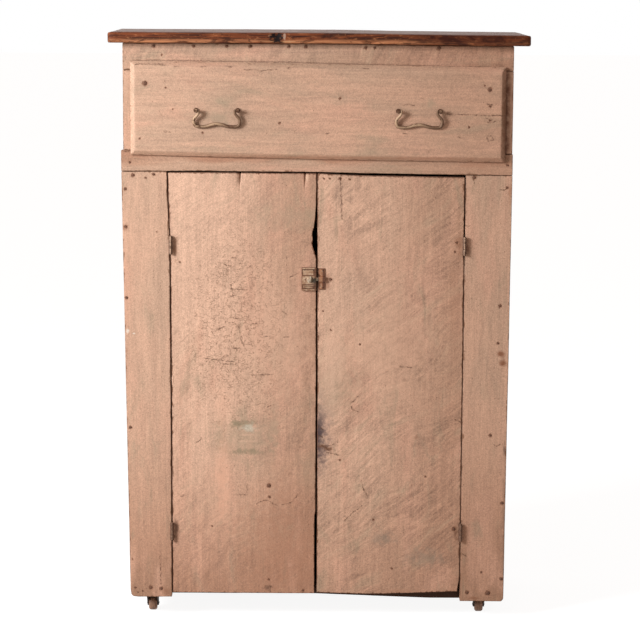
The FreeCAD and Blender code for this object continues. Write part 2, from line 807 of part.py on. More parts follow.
def wire_outline(body, name):
    """The bail's section where its arm begins: round in front and flat behind."""
    sketch = new_sketch(body, name, "XY_Plane")
    low = f"({BAIL_TOP_X} - bail_wire_radius)"
    high = f"({BAIL_TOP_X} + bail_wire_radius)"
    corners = [(low, "0"), (low, "bail_back_flat"), (high, "bail_back_flat"), (high, "0")]
    for begin, end in zip(corners, corners[1:]):
        sketch.addGeometry(Part.LineSegment(vector(begin), vector(end)), False)
    for index in (0, 1):
        sketch.addConstraint(Sketcher.Constraint("Coincident", index, 2, index + 1, 1))
    for index, corner in enumerate(corners[:3]):
        fix_point(sketch, index, 1, corner)
    fix_point(sketch, 2, 2, corners[3])
    front = vector((BAIL_TOP_X, minus("bail_wire_radius")))
    round_side = sketch.addGeometry(Part.Arc(vector(corners[0]), front, vector(corners[3])), False)
    begins = close(sketch.getPoint(round_side, 1).x, number(low))
    near, far = (1, 2) if begins else (2, 1)
    sketch.addConstraint(Sketcher.Constraint("Coincident", round_side, near, 0, 1))
    sketch.addConstraint(Sketcher.Constraint("Coincident", round_side, far, 2, 2))
    sketch.addConstraint(Sketcher.Constraint("PointOnObject", round_side, 3, -1))
    return sketch


def make_bail(side):
    """A bail: shouldered arms, rounded elbows and a swan-neck hump in the grip."""
    name = f"bail_{side}"
    centre = hand_point(side, minus("pull_reach"))
    body = new_body(name, (centre, PIVOT_Y, PULL_Z))
    half = [
        (BAIL_TOP_X, "bail_wire_radius"),
        (BAIL_TOP_X, minus("bail_shoulder")),
        ("bail_spread", minus("bail_elbow")),
        ("(bail_spread - bail_foot_in)", minus("bail_drop")),
        ("bail_hump_half", minus("bail_drop")),
    ]
    crest = ("0", minus("bail_drop - bail_hump_tall"))
    bends = ["bail_shoulder_bend", "bail_elbow_bend", "bail_foot_bend", "bail_hump_bend"]
    path = new_sketch(body, f"{name}_path", "XZ_Plane")
    bend_path(path, half + [crest] + [(minus(x), z) for x, z in reversed(half)],
              bends + ["bail_hump_bend"] + bends[::-1])
    wire = wire_outline(body, f"{name}_wire")
    doc.recompute()
    sweep = body.newObject("PartDesign::AdditivePipe", f"{name}_sweep")
    sweep.Profile = wire
    sweep.Spine = (path, [])
    doc.recompute()
    pin_long = "(bail_wire_radius + bail_side_gap + 2 * post_head_half)"
    starts = {"high": f"{centre} + {BAIL_TOP_X}", "low": f"{centre} - {BAIL_TOP_X} - {pin_long}"}
    for way, start in starts.items():
        round_bar(body, f"{name}_pin_{way}", "Additive", "X", (start, PIVOT_Y, PULL_Z),
                  "bail_pin_radius", pin_long)


gather("pull_posts", [make_post(side, reach) for side, reach in POSTS])
gather("pull_nuts", [make_nut(side, reach) for side, reach in POSTS])
for side in SIDES:
    make_bail(side)


# ---- the cupboard turn: a knob whose crank draws the bolt out of the keeper ----

LATCH_Z = "(caster_height + latch_up)"
LATCH_LEFT = "(-latch_edge - latch_wide)"
LATCH_PROUD = "(3 * bolt_clear + bolt_thick + crank_thick + latch_wall)"
BOLT_BACK = f"({FRONT} - bolt_clear)"
BOLT_FRONT = f"({BOLT_BACK} - bolt_thick)"
CRANK_FRONT = f"({BOLT_FRONT} - bolt_clear - crank_thick)"
LATCH_FRONT = f"({FRONT} - {LATCH_PROUD})"
KNOB_X = "(-latch_edge - knob_set_in)"
CRANK_PIN_X = f"({KNOB_X} + crank_half_travel)"
CRANK_PIN_Z = f"({LATCH_Z} + sqrt(crank_throw * crank_throw - crank_half_travel * crank_half_travel))"
CAVITY_HALF = "(latch_box_tall / 2 - latch_wall)"


def make_latch_case():
    """The cast case: a rimmed flange with a hollow box, open behind, for the bolt and crank."""
    body = board("latch_case", "XZ_Plane",
                 (LATCH_LEFT, f"{FRONT} - latch_flange", f"{LATCH_Z} - latch_tall / 2"),
                 ("latch_wide", "latch_flange", "latch_tall"))
    block(body, "latch_case_box", "Additive",
          (LATCH_LEFT, LATCH_FRONT, f"{LATCH_Z} - latch_box_tall / 2"),
          ("latch_wide", LATCH_PROUD, "latch_box_tall"))
    rims = {"high": f"{LATCH_Z} + latch_tall / 2 - latch_rim_tall", "low": f"{LATCH_Z} - latch_tall / 2"}
    for way, low in rims.items():
        block(body, f"latch_case_rim_{way}", "Additive", (LATCH_LEFT, f"{FRONT} - latch_rim_proud", low),
              ("latch_wide", "latch_rim_proud", "latch_rim_tall"))
    block(body, "latch_case_cavity", "Subtractive",
          (f"{LATCH_LEFT} + latch_wall", f"{LATCH_FRONT} + latch_wall", f"{LATCH_Z} - {CAVITY_HALF}"),
          ("latch_wide - 2 * latch_wall", f"{LATCH_PROUD} - latch_wall + cut_past", f"2 * {CAVITY_HALF}"))
    block(body, "latch_case_mouth", "Subtractive",
          ("-latch_edge - latch_wall - cut_past", f"{BOLT_FRONT} - bolt_clear",
           f"{LATCH_Z} - bolt_tall / 2 - bolt_clear"),
          ("latch_wall + 2 * cut_past", "bolt_thick + 2 * bolt_clear + cut_past", "bolt_tall + 2 * bolt_clear"))
    round_bar(body, "latch_case_eye", "Subtractive", "Y", (KNOB_X, f"{LATCH_FRONT} - cut_past", LATCH_Z),
              "knob_neck_radius + turning_clear", "latch_wall + 2 * cut_past")


def make_bolt():
    """The bolt: a bar with a tall tail, slotted for the crank pin to work in."""
    tail = f"({CRANK_PIN_X} - bolt_tail_wide / 2)"
    body = board("latch_bolt", "XZ_Plane", (tail, BOLT_FRONT, f"{LATCH_Z} - bolt_tall / 2"),
                 (f"bolt_reach - {tail}", "bolt_thick", "bolt_tall"))
    block(body, "latch_bolt_tail", "Additive", (tail, BOLT_FRONT, f"{LATCH_Z} - bolt_tail_tall / 2"),
          ("bolt_tail_wide", "bolt_thick", "bolt_tail_tall"))
    half = "(crank_pin_radius + crank_slot_clear)"
    block(body, "latch_bolt_slot", "Subtractive",
          (f"{CRANK_PIN_X} - {half}", f"{BOLT_FRONT} - cut_past", f"{CRANK_PIN_Z} - {half}"),
          (f"2 * {half}", "bolt_thick + 2 * cut_past",
           f"{LATCH_Z} + crank_throw - {CRANK_PIN_Z} + 2 * {half}"))


def make_knob():
    """The knob, its neck through the case, and the crank plate and pin behind."""
    body = new_body("latch_knob", (KNOB_X, LATCH_FRONT, LATCH_Z))
    front = f"({LATCH_FRONT} - knob_neck_long - knob_thick)"
    round_bar(body, "latch_knob_grip", "Additive", "Y", (KNOB_X, front, LATCH_Z), "knob_radius", "knob_thick")
    bevel_rims(body, "latch_knob_bevel", "knob_bevel", "knob_radius")
    round_bar(body, "latch_knob_neck", "Additive", "Y", (KNOB_X, f"{front} + knob_thick", LATCH_Z),
              "knob_neck_radius", f"knob_neck_long + {CRANK_FRONT} - {LATCH_FRONT}")
    round_bar(body, "latch_knob_crank", "Additive", "Y", (KNOB_X, CRANK_FRONT, LATCH_Z),
              "crank_radius", "crank_thick")
    round_bar(body, "latch_knob_pin", "Additive", "Y", (CRANK_PIN_X, CRANK_FRONT, CRANK_PIN_Z),
              "crank_pin_radius", f"{BOLT_BACK} - {CRANK_FRONT} - bolt_clear")


def make_keeper():
    """The keeper: a plate with a raised staple that the bolt shoots into."""
    foot = f"({LATCH_Z} - keeper_tall / 2)"
    body = board("latch_keeper", "XZ_Plane", ("latch_edge", f"{FRONT} - keeper_plate", foot),
                 ("keeper_wide", "keeper_plate", "keeper_tall"))
    room = "(bolt_tall + 2 * bolt_clear)"
    front = f"({BOLT_FRONT} - bolt_clear - keeper_wall)"
    block(body, "latch_keeper_staple", "Additive",
          ("latch_edge", front, f"{LATCH_Z} - {room} / 2 - keeper_wall"),
          ("keeper_wide", f"{FRONT} - {front}", f"{room} + 2 * keeper_wall"))
    block(body, "latch_keeper_throat", "Subtractive",
          ("latch_edge - cut_past", f"{front} + keeper_wall", f"{LATCH_Z} - {room} / 2"),
          ("keeper_wide - keeper_wall + cut_past", f"{FRONT} - {front} - keeper_wall + cut_past", room))


make_latch_case()
make_bolt()
make_knob()
make_keeper()


# ---- casters: a wooden wheel in a trailing iron fork, on a stem in a sleeve ----

SOCKET_FOOT = f"({BOTTOM_LOW} - socket_flange_thick)"
CROWN_LOW = "(2 * wheel_radius + wheel_crown_gap)"
CROWN_TOP = f"({SOCKET_FOOT} - swivel_gap)"
FORK_HALF = "(wheel_wide / 2 + wheel_gap + horn_thick)"


def make_block(end, side):
    """A corner block on the bottom board, bored for a caster's sleeve."""
    name = f"block_{end}_{side}"
    x = hand_point(side, minus(BLOCK_X))
    y = CASTER_Y[end]
    body = board(name, "XY_Plane", (f"{x} - block_wide / 2", f"{y} - block_wide / 2", BOTTOM_TOP),
                 ("block_wide", "block_wide", "block_tall"))
    round_bar(body, f"{name}_bore", "Subtractive", "Z", (x, y, f"{BOTTOM_TOP} - cut_past"),
              "socket_radius + socket_clear", "block_tall + 2 * cut_past")
    return body


def make_socket(end, side):
    """A flanged sleeve for the stem, driven up into the block."""
    name = f"socket_{end}_{side}"
    x = hand_point(side, minus(BLOCK_X))
    y = CASTER_Y[end]
    body = new_body(name, (x, y, SOCKET_FOOT))
    round_bar(body, f"{name}_sleeve", "Additive", "Z", (x, y, SOCKET_FOOT), "socket_radius", "socket_long")
    round_bar(body, f"{name}_flange", "Additive", "Z", (x, y, SOCKET_FOOT), "socket_flange_radius",
              "socket_flange_thick")
    round_bar(body, f"{name}_bore", "Subtractive", "Z", (x, y, f"{SOCKET_FOOT} - cut_past"),
              "stem_radius + socket_clear", "socket_long + 2 * cut_past")
    return body


def make_fork(end, side):
    """A forked horn that trails behind its stem; its side is drawn and the gap cut through."""
    name = f"caster_fork_{end}_{side}"
    x = hand_point(side, minus(BLOCK_X))
    y = CASTER_Y[end]
    body = new_body(name, (f"{x} - {FORK_HALF}", y, "0"))
    corners = [
        (minus("crown_half"), CROWN_TOP),
        (minus("crown_half"), CROWN_LOW),
        ("(caster_trail - horn_foot_radius)", "wheel_radius"),
        ("(caster_trail + horn_foot_radius)", "wheel_radius"),
        ("(caster_trail + horn_foot_radius)", CROWN_LOW),
        ("crown_half", CROWN_TOP),
    ]
    sketch = outline(body, f"{name}_side", "YZ_Plane", corners)
    pad(body, f"{name}_pad", sketch, f"2 * {FORK_HALF}")
    axle = (f"{x} - {FORK_HALF}", f"{y} + caster_trail", "wheel_radius")
    round_bar(body, f"{name}_foot", "Additive", "X", axle, "horn_foot_radius", f"2 * {FORK_HALF}")
    gap = "(wheel_wide / 2 + wheel_gap)"
    block(body, f"{name}_gap", "Subtractive", (f"{x} - {gap}", f"{y} - 2 * crown_half", "0"),
          (f"2 * {gap}", "4 * crown_half + 2 * caster_trail", CROWN_LOW))
    round_bar(body, f"{name}_axle_bore", "Subtractive", "X",
              (f"{x} - {FORK_HALF} - cut_past", f"{y} + caster_trail", "wheel_radius"),
              "axle_radius + turning_clear", f"2 * {FORK_HALF} + 2 * cut_past")
    round_bar(body, f"{name}_stem", "Additive", "Z", (x, y, f"{CROWN_TOP} - cut_past"), "stem_radius",
              "stem_long + cut_past")


def make_axle(end, side):
    """A riveted axle, its ends a little proud of both horns."""
    name = f"caster_axle_{end}_{side}"
    x = hand_point(side, minus(BLOCK_X))
    line = (f"{CASTER_Y[end]} + caster_trail", "wheel_radius")
    body = new_body(name, (x, *line))
    half = f"({FORK_HALF} + axle_proud)"
    round_bar(body, f"{name}_pin", "Additive", "X", (f"{x} - {half}", *line), "axle_radius", f"2 * {half}")


def make_wheel(end, side):
    """A turned wheel with its tread bevelled at both rims."""
    name = f"caster_wheel_{end}_{side}"
    x = hand_point(side, minus(BLOCK_X))
    line = (f"{CASTER_Y[end]} + caster_trail", "wheel_radius")
    body = new_body(name, (x, *line))
    round_bar(body, f"{name}_disc", "Additive", "X", (f"{x} - wheel_wide / 2", *line), "wheel_radius",
              "wheel_wide")
    bevel_rims(body, f"{name}_rim", "wheel_bevel", "wheel_radius")
    round_bar(body, f"{name}_bore", "Subtractive", "X", (f"{x} - wheel_wide / 2 - cut_past", *line),
              "axle_radius + wheel_bore_clear", "wheel_wide + 2 * cut_past")


gather("caster_blocks", [make_block(end, side) for end, side in CORNERS])
gather("caster_sockets", [make_socket(end, side) for end, side in CORNERS])
for end, side in CORNERS:
    make_fork(end, side)
    make_axle(end, side)
    make_wheel(end, side)


# ---- the finished sub-parts, checked and written one file each ----

NODES = (
    [f"side_{side}" for side in SIDES]
    + [f"back_board_{index + 1}" for index in range(BACK_BOARDS)]
    + ["bottom_board", "top_board_front", "top_board_back", "top_rail", "middle_rail"]
    + [f"{kind}_{side}" for kind in ("stile", "drawer_stile") for side in SIDES]
    + [f"shelf_{level}" for level in SHELF_LOW]
    + ["shelf_cleats", "drawer_runners", "drawer_kickers", "hinge_leaves_case", "hinge_pins"]
    + [f"{kind}_{side}" for kind in ("hinge_leaves", "door_board", "door_battens") for side in SIDES]
    + ["drawer_front", "drawer_side_left", "drawer_side_right", "drawer_back", "drawer_bottom"]
    + ["pull_posts", "pull_nuts", "bail_left", "bail_right"]
    + ["latch_case", "latch_bolt", "latch_knob", "latch_keeper", "caster_blocks", "caster_sockets"]
    + [f"caster_{kind}_{end}_{side}" for kind in ("fork", "axle", "wheel") for end, side in CORNERS]
)

doc.recompute()
for item in doc.Objects:
    if {"Invalid", "Error"} & set(item.State):
        raise RuntimeError(f"{item.Name} failed to build: {item.State}")

for node in NODES:
    item = doc.getObject(node)
    item.Label = node
    if item.Shape.isNull() or not item.Shape.isValid():
        raise RuntimeError(f"{node} has no sound shape")

os.makedirs("parts", exist_ok=True)
for node in NODES:
    doc.getObject(node).Shape.exportStep(f"parts/{node}.step")
print(f"{len(NODES)} sub-parts written")
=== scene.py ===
import math
from functools import partial

import bpy
import numpy as np
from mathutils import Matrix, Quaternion, Vector, noise


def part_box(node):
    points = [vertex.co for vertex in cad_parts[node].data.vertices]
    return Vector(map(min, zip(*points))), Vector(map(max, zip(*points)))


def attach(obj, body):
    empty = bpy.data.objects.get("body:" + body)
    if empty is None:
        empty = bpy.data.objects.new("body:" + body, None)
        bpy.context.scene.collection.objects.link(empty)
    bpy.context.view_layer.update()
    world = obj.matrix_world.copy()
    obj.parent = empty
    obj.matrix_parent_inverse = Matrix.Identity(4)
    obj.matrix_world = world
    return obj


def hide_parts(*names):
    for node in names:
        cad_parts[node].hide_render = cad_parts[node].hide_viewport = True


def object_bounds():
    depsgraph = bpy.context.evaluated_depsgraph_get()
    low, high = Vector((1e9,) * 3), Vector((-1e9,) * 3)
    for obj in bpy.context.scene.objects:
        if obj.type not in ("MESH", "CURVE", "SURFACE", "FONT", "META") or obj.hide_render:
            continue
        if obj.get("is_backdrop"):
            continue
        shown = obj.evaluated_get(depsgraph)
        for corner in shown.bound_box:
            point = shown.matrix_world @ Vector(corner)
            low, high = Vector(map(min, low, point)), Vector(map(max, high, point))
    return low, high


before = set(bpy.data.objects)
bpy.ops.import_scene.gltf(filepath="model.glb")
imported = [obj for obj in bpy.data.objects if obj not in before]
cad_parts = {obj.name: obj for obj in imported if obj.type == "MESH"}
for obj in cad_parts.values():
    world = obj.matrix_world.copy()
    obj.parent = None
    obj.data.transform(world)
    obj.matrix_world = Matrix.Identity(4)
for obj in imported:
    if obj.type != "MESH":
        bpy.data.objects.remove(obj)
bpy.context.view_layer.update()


# ---- side boards ----
# Two wide pine planks standing on edge, painted outside, rabbeted behind for the back.
# Every painted board of the cupboard is sawn, planed and worn round like these.

HANDS = {"left": -1, "right": 1}
REBATE_X = 0.406
REBATE_Y = 0.170
CASE_BACK = 0.182
SIDE_DEEP = 0.330
FRAME_FOOT = 0.048
DOOR_HEAD = 0.985
DRAWN_IN = {"left": 0.008, "right": 0.0025}
NO_LINES = ((), (), ())
EVEN = (1, 1, 1)

SALMON = (0.600, 0.352, 0.240)
ROSE = (0.625, 0.345, 0.237)
DULL = (0.500, 0.312, 0.214)
GREY_GREEN = (0.345, 0.258, 0.172)
BARE_WOOD = (0.215, 0.105, 0.055)
FRESH_PINE = (0.430, 0.265, 0.135)
AGED_PINE = (0.265, 0.140, 0.068)
GRIME = (0.050, 0.022, 0.014)
RUST = (0.250, 0.105, 0.055)
JOINT_BROWN = (0.115, 0.040, 0.018)


def board_lines(low, high, arris, cell, extra):
    """Where a board's skin is divided from one end to the other, closest beside its arrises."""
    band = 2.2 * arris
    inset = [0, 0.3 * arris, 0.65 * arris, arris, band]
    lines = [low + d for d in inset] + [high - d for d in inset] + list(extra)
    long = high - low - 2 * band
    count = max(1, round(long / cell))
    lines += [low + band + long * i / count for i in range(1, count)]
    lines.sort()
    return np.array([v for i, v in enumerate(lines) if i == 0 or v - lines[i - 1] > 2e-5])


def wander(points, scale, shift):
    """A soft unevenness from -1 to 1 at each point, about 1 / scale metres long."""
    return np.array([noise.noise(Vector(p) * scale + Vector((shift, 3.1 * shift, 7.7))) for p in points])


def board_skin(low, high, arris, cell, extra, seed):
    """Points, faces and arris distances of one worn board between two corners."""
    lines = [board_lines(low[a], high[a], arris, cell, extra[a]) for a in range(3)]
    grid = np.stack(np.meshgrid(*lines, indexing="ij"), -1)
    skin = np.zeros(grid.shape[:3], bool)
    sides = [(axis, end) for axis in range(3) for end in (0, -1)]
    for axis, end in sides:
        face = [slice(None)] * 3
        face[axis] = end
        skin[tuple(face)] = True
    index = np.full(skin.shape, -1)
    index[skin] = np.arange(skin.sum())
    faces = []
    for axis, end in sides:
        sheet = np.take(index, end, axis)
        quads = np.stack([sheet[:-1, :-1], sheet[1:, :-1], sheet[1:, 1:], sheet[:-1, 1:]], -1).reshape(-1, 4)
        outward = (end == -1) != (axis == 1)
        faces.append(quads if outward else quads[:, ::-1])

    # the arrises are rounded unevenly, with chips, and the faces are planed a little hollow
    points = grid[skin]
    low, high = np.array(low), np.array(high)
    edge = np.sort(np.minimum(points - low, high - points), 1)[:, 1]
    wear = 0.55 + 0.45 * wander(points, 14, seed)
    chips = np.clip(wander(points, 55, seed + 5) - 0.35, 0, 1) * 1.1
    radius = (arris * np.clip(0.25 + 0.55 * wear + chips, 0.2, 1.25))[:, None]
    inner = np.clip(points, low + radius, high - radius)
    out = points - inner
    long = np.linalg.norm(out, axis=1, keepdims=True)
    out = out / np.maximum(long, 1e-9)
    worn = np.where(long > 0, inner + out * radius, points)
    sunk = 0.00035 * (1 + wander(points, 9, seed + 9)) + 0.00012 * (1 + wander(points, 60, seed + 2))
    return worn - out * sunk[:, None], np.concatenate(faces), edge


def new_piece(name, points, faces, finish, edge=None, smooth=True):
    """A mesh object from points and faces, with each point's distance to the nearest arris."""
    mesh = bpy.data.meshes.new(name)
    mesh.from_pydata([tuple(p) for p in points], [], [tuple(int(i) for i in f) for f in faces])
    mesh.polygons.foreach_set("use_smooth", [smooth] * len(mesh.polygons))
    if edge is not None:
        kept = mesh.attributes.new("edge", "FLOAT", "POINT")
        kept.data.foreach_set("value", np.asarray(edge, np.float32))
    mesh.update()
    mesh.materials.append(finish)
    piece = bpy.data.objects.new(name, mesh)
    bpy.context.scene.collection.objects.link(piece)
    return piece


def stands_for(piece, node, body):
    """Puts a piece in the place of a CAD node, on the body that node belongs to."""
    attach(piece, body)
    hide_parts(node)


def worn_board(name, node, body, finish, arris, cell, extra=NO_LINES, bend=None, seed=0):
    """One board that stands for a CAD board, worn along its arrises and bent by its own warp."""
    low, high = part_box(node)
    points, faces, edge = board_skin(low, high, arris, cell, extra, seed)
    if bend:
        points = bend(points)
    stands_for(new_piece(name, points, faces, finish, edge), node, body)


def plug(value, socket):
    """Joins a socket to another one, or gives it a plain value."""
    if isinstance(value, bpy.types.NodeSocket):
        socket.id_data.links.new(value, socket)
    elif isinstance(value, tuple) and len(value) == 3 and len(socket.default_value) == 4:
        socket.default_value = (*value, 1)
    else:
        socket.default_value = value


def new_node(kind, values, part=0, tree=None, **settings):
    """A node with its settings made and its inputs filled, in the tree that its inputs come from."""
    for value in values.values():
        if isinstance(value, bpy.types.NodeSocket):
            tree = value.id_data
    made = tree.nodes.new("ShaderNode" + kind)
    for name, setting in settings.items():
        setattr(made, name, setting)
    for socket, value in values.items():
        plug(value, made.inputs[socket])
    return made.outputs if part is None else made.outputs[part]


def sums(rule, *values):
    """Several numbers joined by one rule, from the first to the last."""
    total = values[0]
    for value in values[1:]:
        total = new_node("Math", {0: total, 1: value}, operation=rule)
    return total


plus = partial(sums, "ADD")
less = partial(sums, "SUBTRACT")
times = partial(sums, "MULTIPLY")
most = partial(sums, "MAXIMUM")
least = partial(sums, "MINIMUM")


def over(share, under, top):
    """One colour laid over another."""
    return new_node("Mix", {0: share, 6: under, 7: top}, 2, data_type="RGBA")


def step(value, low, high, start=0.0, end=1.0):
    """A smooth step from start to end while value goes from low to high."""
    values = dict(enumerate((value, low, high, start, end)))
    return new_node("MapRange", values, interpolation_type="SMOOTHSTEP")


def vectors(rule, first, second, part=0):
    """Two places or offsets joined by one rule."""
    return new_node("VectorMath", {0: first, 1: second}, part, operation=rule)


def scaled(value, share):
    """A colour made lighter or darker, or an offset made longer or shorter."""
    return new_node("VectorMath", {0: value, "Scale": share}, operation="SCALE")


def axes(where):
    """The X, Y and Z of a place."""
    return new_node("SeparateXYZ", {0: where}, None)


def drawn_out(grain, share):
    """Scales that draw a pattern out along the grain."""
    return tuple(share if axis == grain else 1 for axis in "xyz")


def laid(where, scale, shift=0.0, turn=0.0):
    """Places on the wood, turned round the y axis and drawn out along its grain."""
    turned = new_node("Mapping", {"Vector": where, "Rotation": (0, turn, 0)})
    shifts = (shift, 1.7 * shift, 2.3 * shift)
    return new_node("Mapping", {"Vector": turned, "Location": shifts, "Scale": scale})


def cloud(where, scale, detail=3.0, rough=0.5, swirl=0.0, part="Fac"):
    """Soft blotches about 1 / scale metres long."""
    values = {"Vector": where, "Scale": scale, "Detail": detail, "Roughness": rough, "Distortion": swirl}
    return new_node("TexNoise", values, part)


def cells(where, scale, feature="F1"):
    """Distance inside cells about 1 / scale metres wide, from their middles or their edges."""
    return new_node("TexVoronoi", {"Vector": where, "Scale": scale}, "Distance", feature=feature)


def in_oval(where, x, z, wide, tall, y=0.0, thick=0.0):
    """Distance from the middle of an oval patch, which is 1 at its rim."""
    off = vectors("MULTIPLY", vectors("SUBTRACT", where, (x, y, z)), (1 / wide, thick, 1 / tall))
    return vectors("LENGTH", off, (0, 0, 0), "Value")


def arris_gap(where):
    """Distance to the nearest arris, as the mesh keeps it."""
    return new_node("Attribute", {}, "Fac", where.id_data, attribute_name="edge")


def new_finish(name):
    """A material and the object's own coordinates in it."""
    made = bpy.data.materials.new(name)
    made.use_nodes = True
    return made, new_node("TexCoord", {}, "Object", made.node_tree)


def coat(finish, colour, rough, height, deep, metal=0.0, gloss=0.5):
    """Gives a finish its colour, roughness, metal and gloss, and a fine relief."""
    skin = finish.node_tree.nodes["Principled BSDF"]
    plug(colour, skin.inputs["Base Color"])
    plug(rough, skin.inputs["Roughness"])
    skin.inputs["Metallic"].default_value = metal
    skin.inputs["Specular IOR Level"].default_value = gloss
    plug(new_node("Bump", {"Strength": 1.0, "Distance": deep, "Height": height}), skin.inputs["Normal"])


def nearest_spot(flat, spots):
    """Distance to the nearest of some places on a board's face, less each one's radius."""
    return least(*(less(vectors("DISTANCE", flat, (x, 0, z), "Value"), 1.25 * radius)
                   for x, z, radius in spots))


def nearest_split(flat, splits):
    """Distance to the nearest of some hairline cracks, each a run of points (x, z)."""
    gaps = []
    for run in splits:
        for (ax, az), (bx, bz) in zip(run, run[1:]):
            dx, dz = bx - ax, bz - az
            square = dx * dx + dz * dz
            off = vectors("SUBTRACT", flat, (ax, 0, az))
            along = vectors("DOT_PRODUCT", off, (dx / square, 0, dz / square), "Value")
            foot = scaled((dx, 0, dz), least(most(along, 0.0), 1.0))
            gaps.append(vectors("DISTANCE", off, foot, "Value"))
    return least(*gaps)


def brush_marks(where, turn, seed):
    """Marks of a wide brush: its hairs, its broader sweeps, and where either of them shows."""
    swept = vectors("ADD", where, scaled(cloud(where, 5, 2, part="Color"), 0.09))
    brushed = laid(swept, (0.16, 1, 1), seed + 6, turn)
    hairs = cloud(brushed, 150, 4, 0.62, 0.3)
    sweeps = cloud(brushed, 38, 3, 0.55, 0.4)
    return hairs, sweeps, step(cloud(laid(where, EVEN, seed + 7), 7), 0.38, 0.58, 0.20, 1.0)


def alligator(where, x, z, wide, tall, blur, seed):
    """Cracking where the paint went on thick: long upright cracks, and short ones across."""
    near = plus(in_oval(where, x, z, wide, tall), step(blur, 0.2, 0.8, -0.35, 0.35))
    core = step(near, 0.35, 0.95, 1.0, 0.0)
    field = step(near, 0.9, 2.1, 1.0, 0.0)
    broken = step(cloud(where, 150, 3, 0.6), 0.46, 0.60)
    bent = vectors("ADD", where, scaled(cloud(where, 130, part="Color"), 0.006))
    long = step(cells(laid(bent, (1, 0.01, 0.45), seed), 88, "DISTANCE_TO_EDGE"), 0.01, 0.050, 1.0, 0.0)
    short = step(cells(laid(bent, (0.55, 0.01, 1), seed), 210, "DISTANCE_TO_EDGE"), 0.01, 0.085, 1.0, 0.0)
    return most(times(long, core, broken), times(short, field, broken))


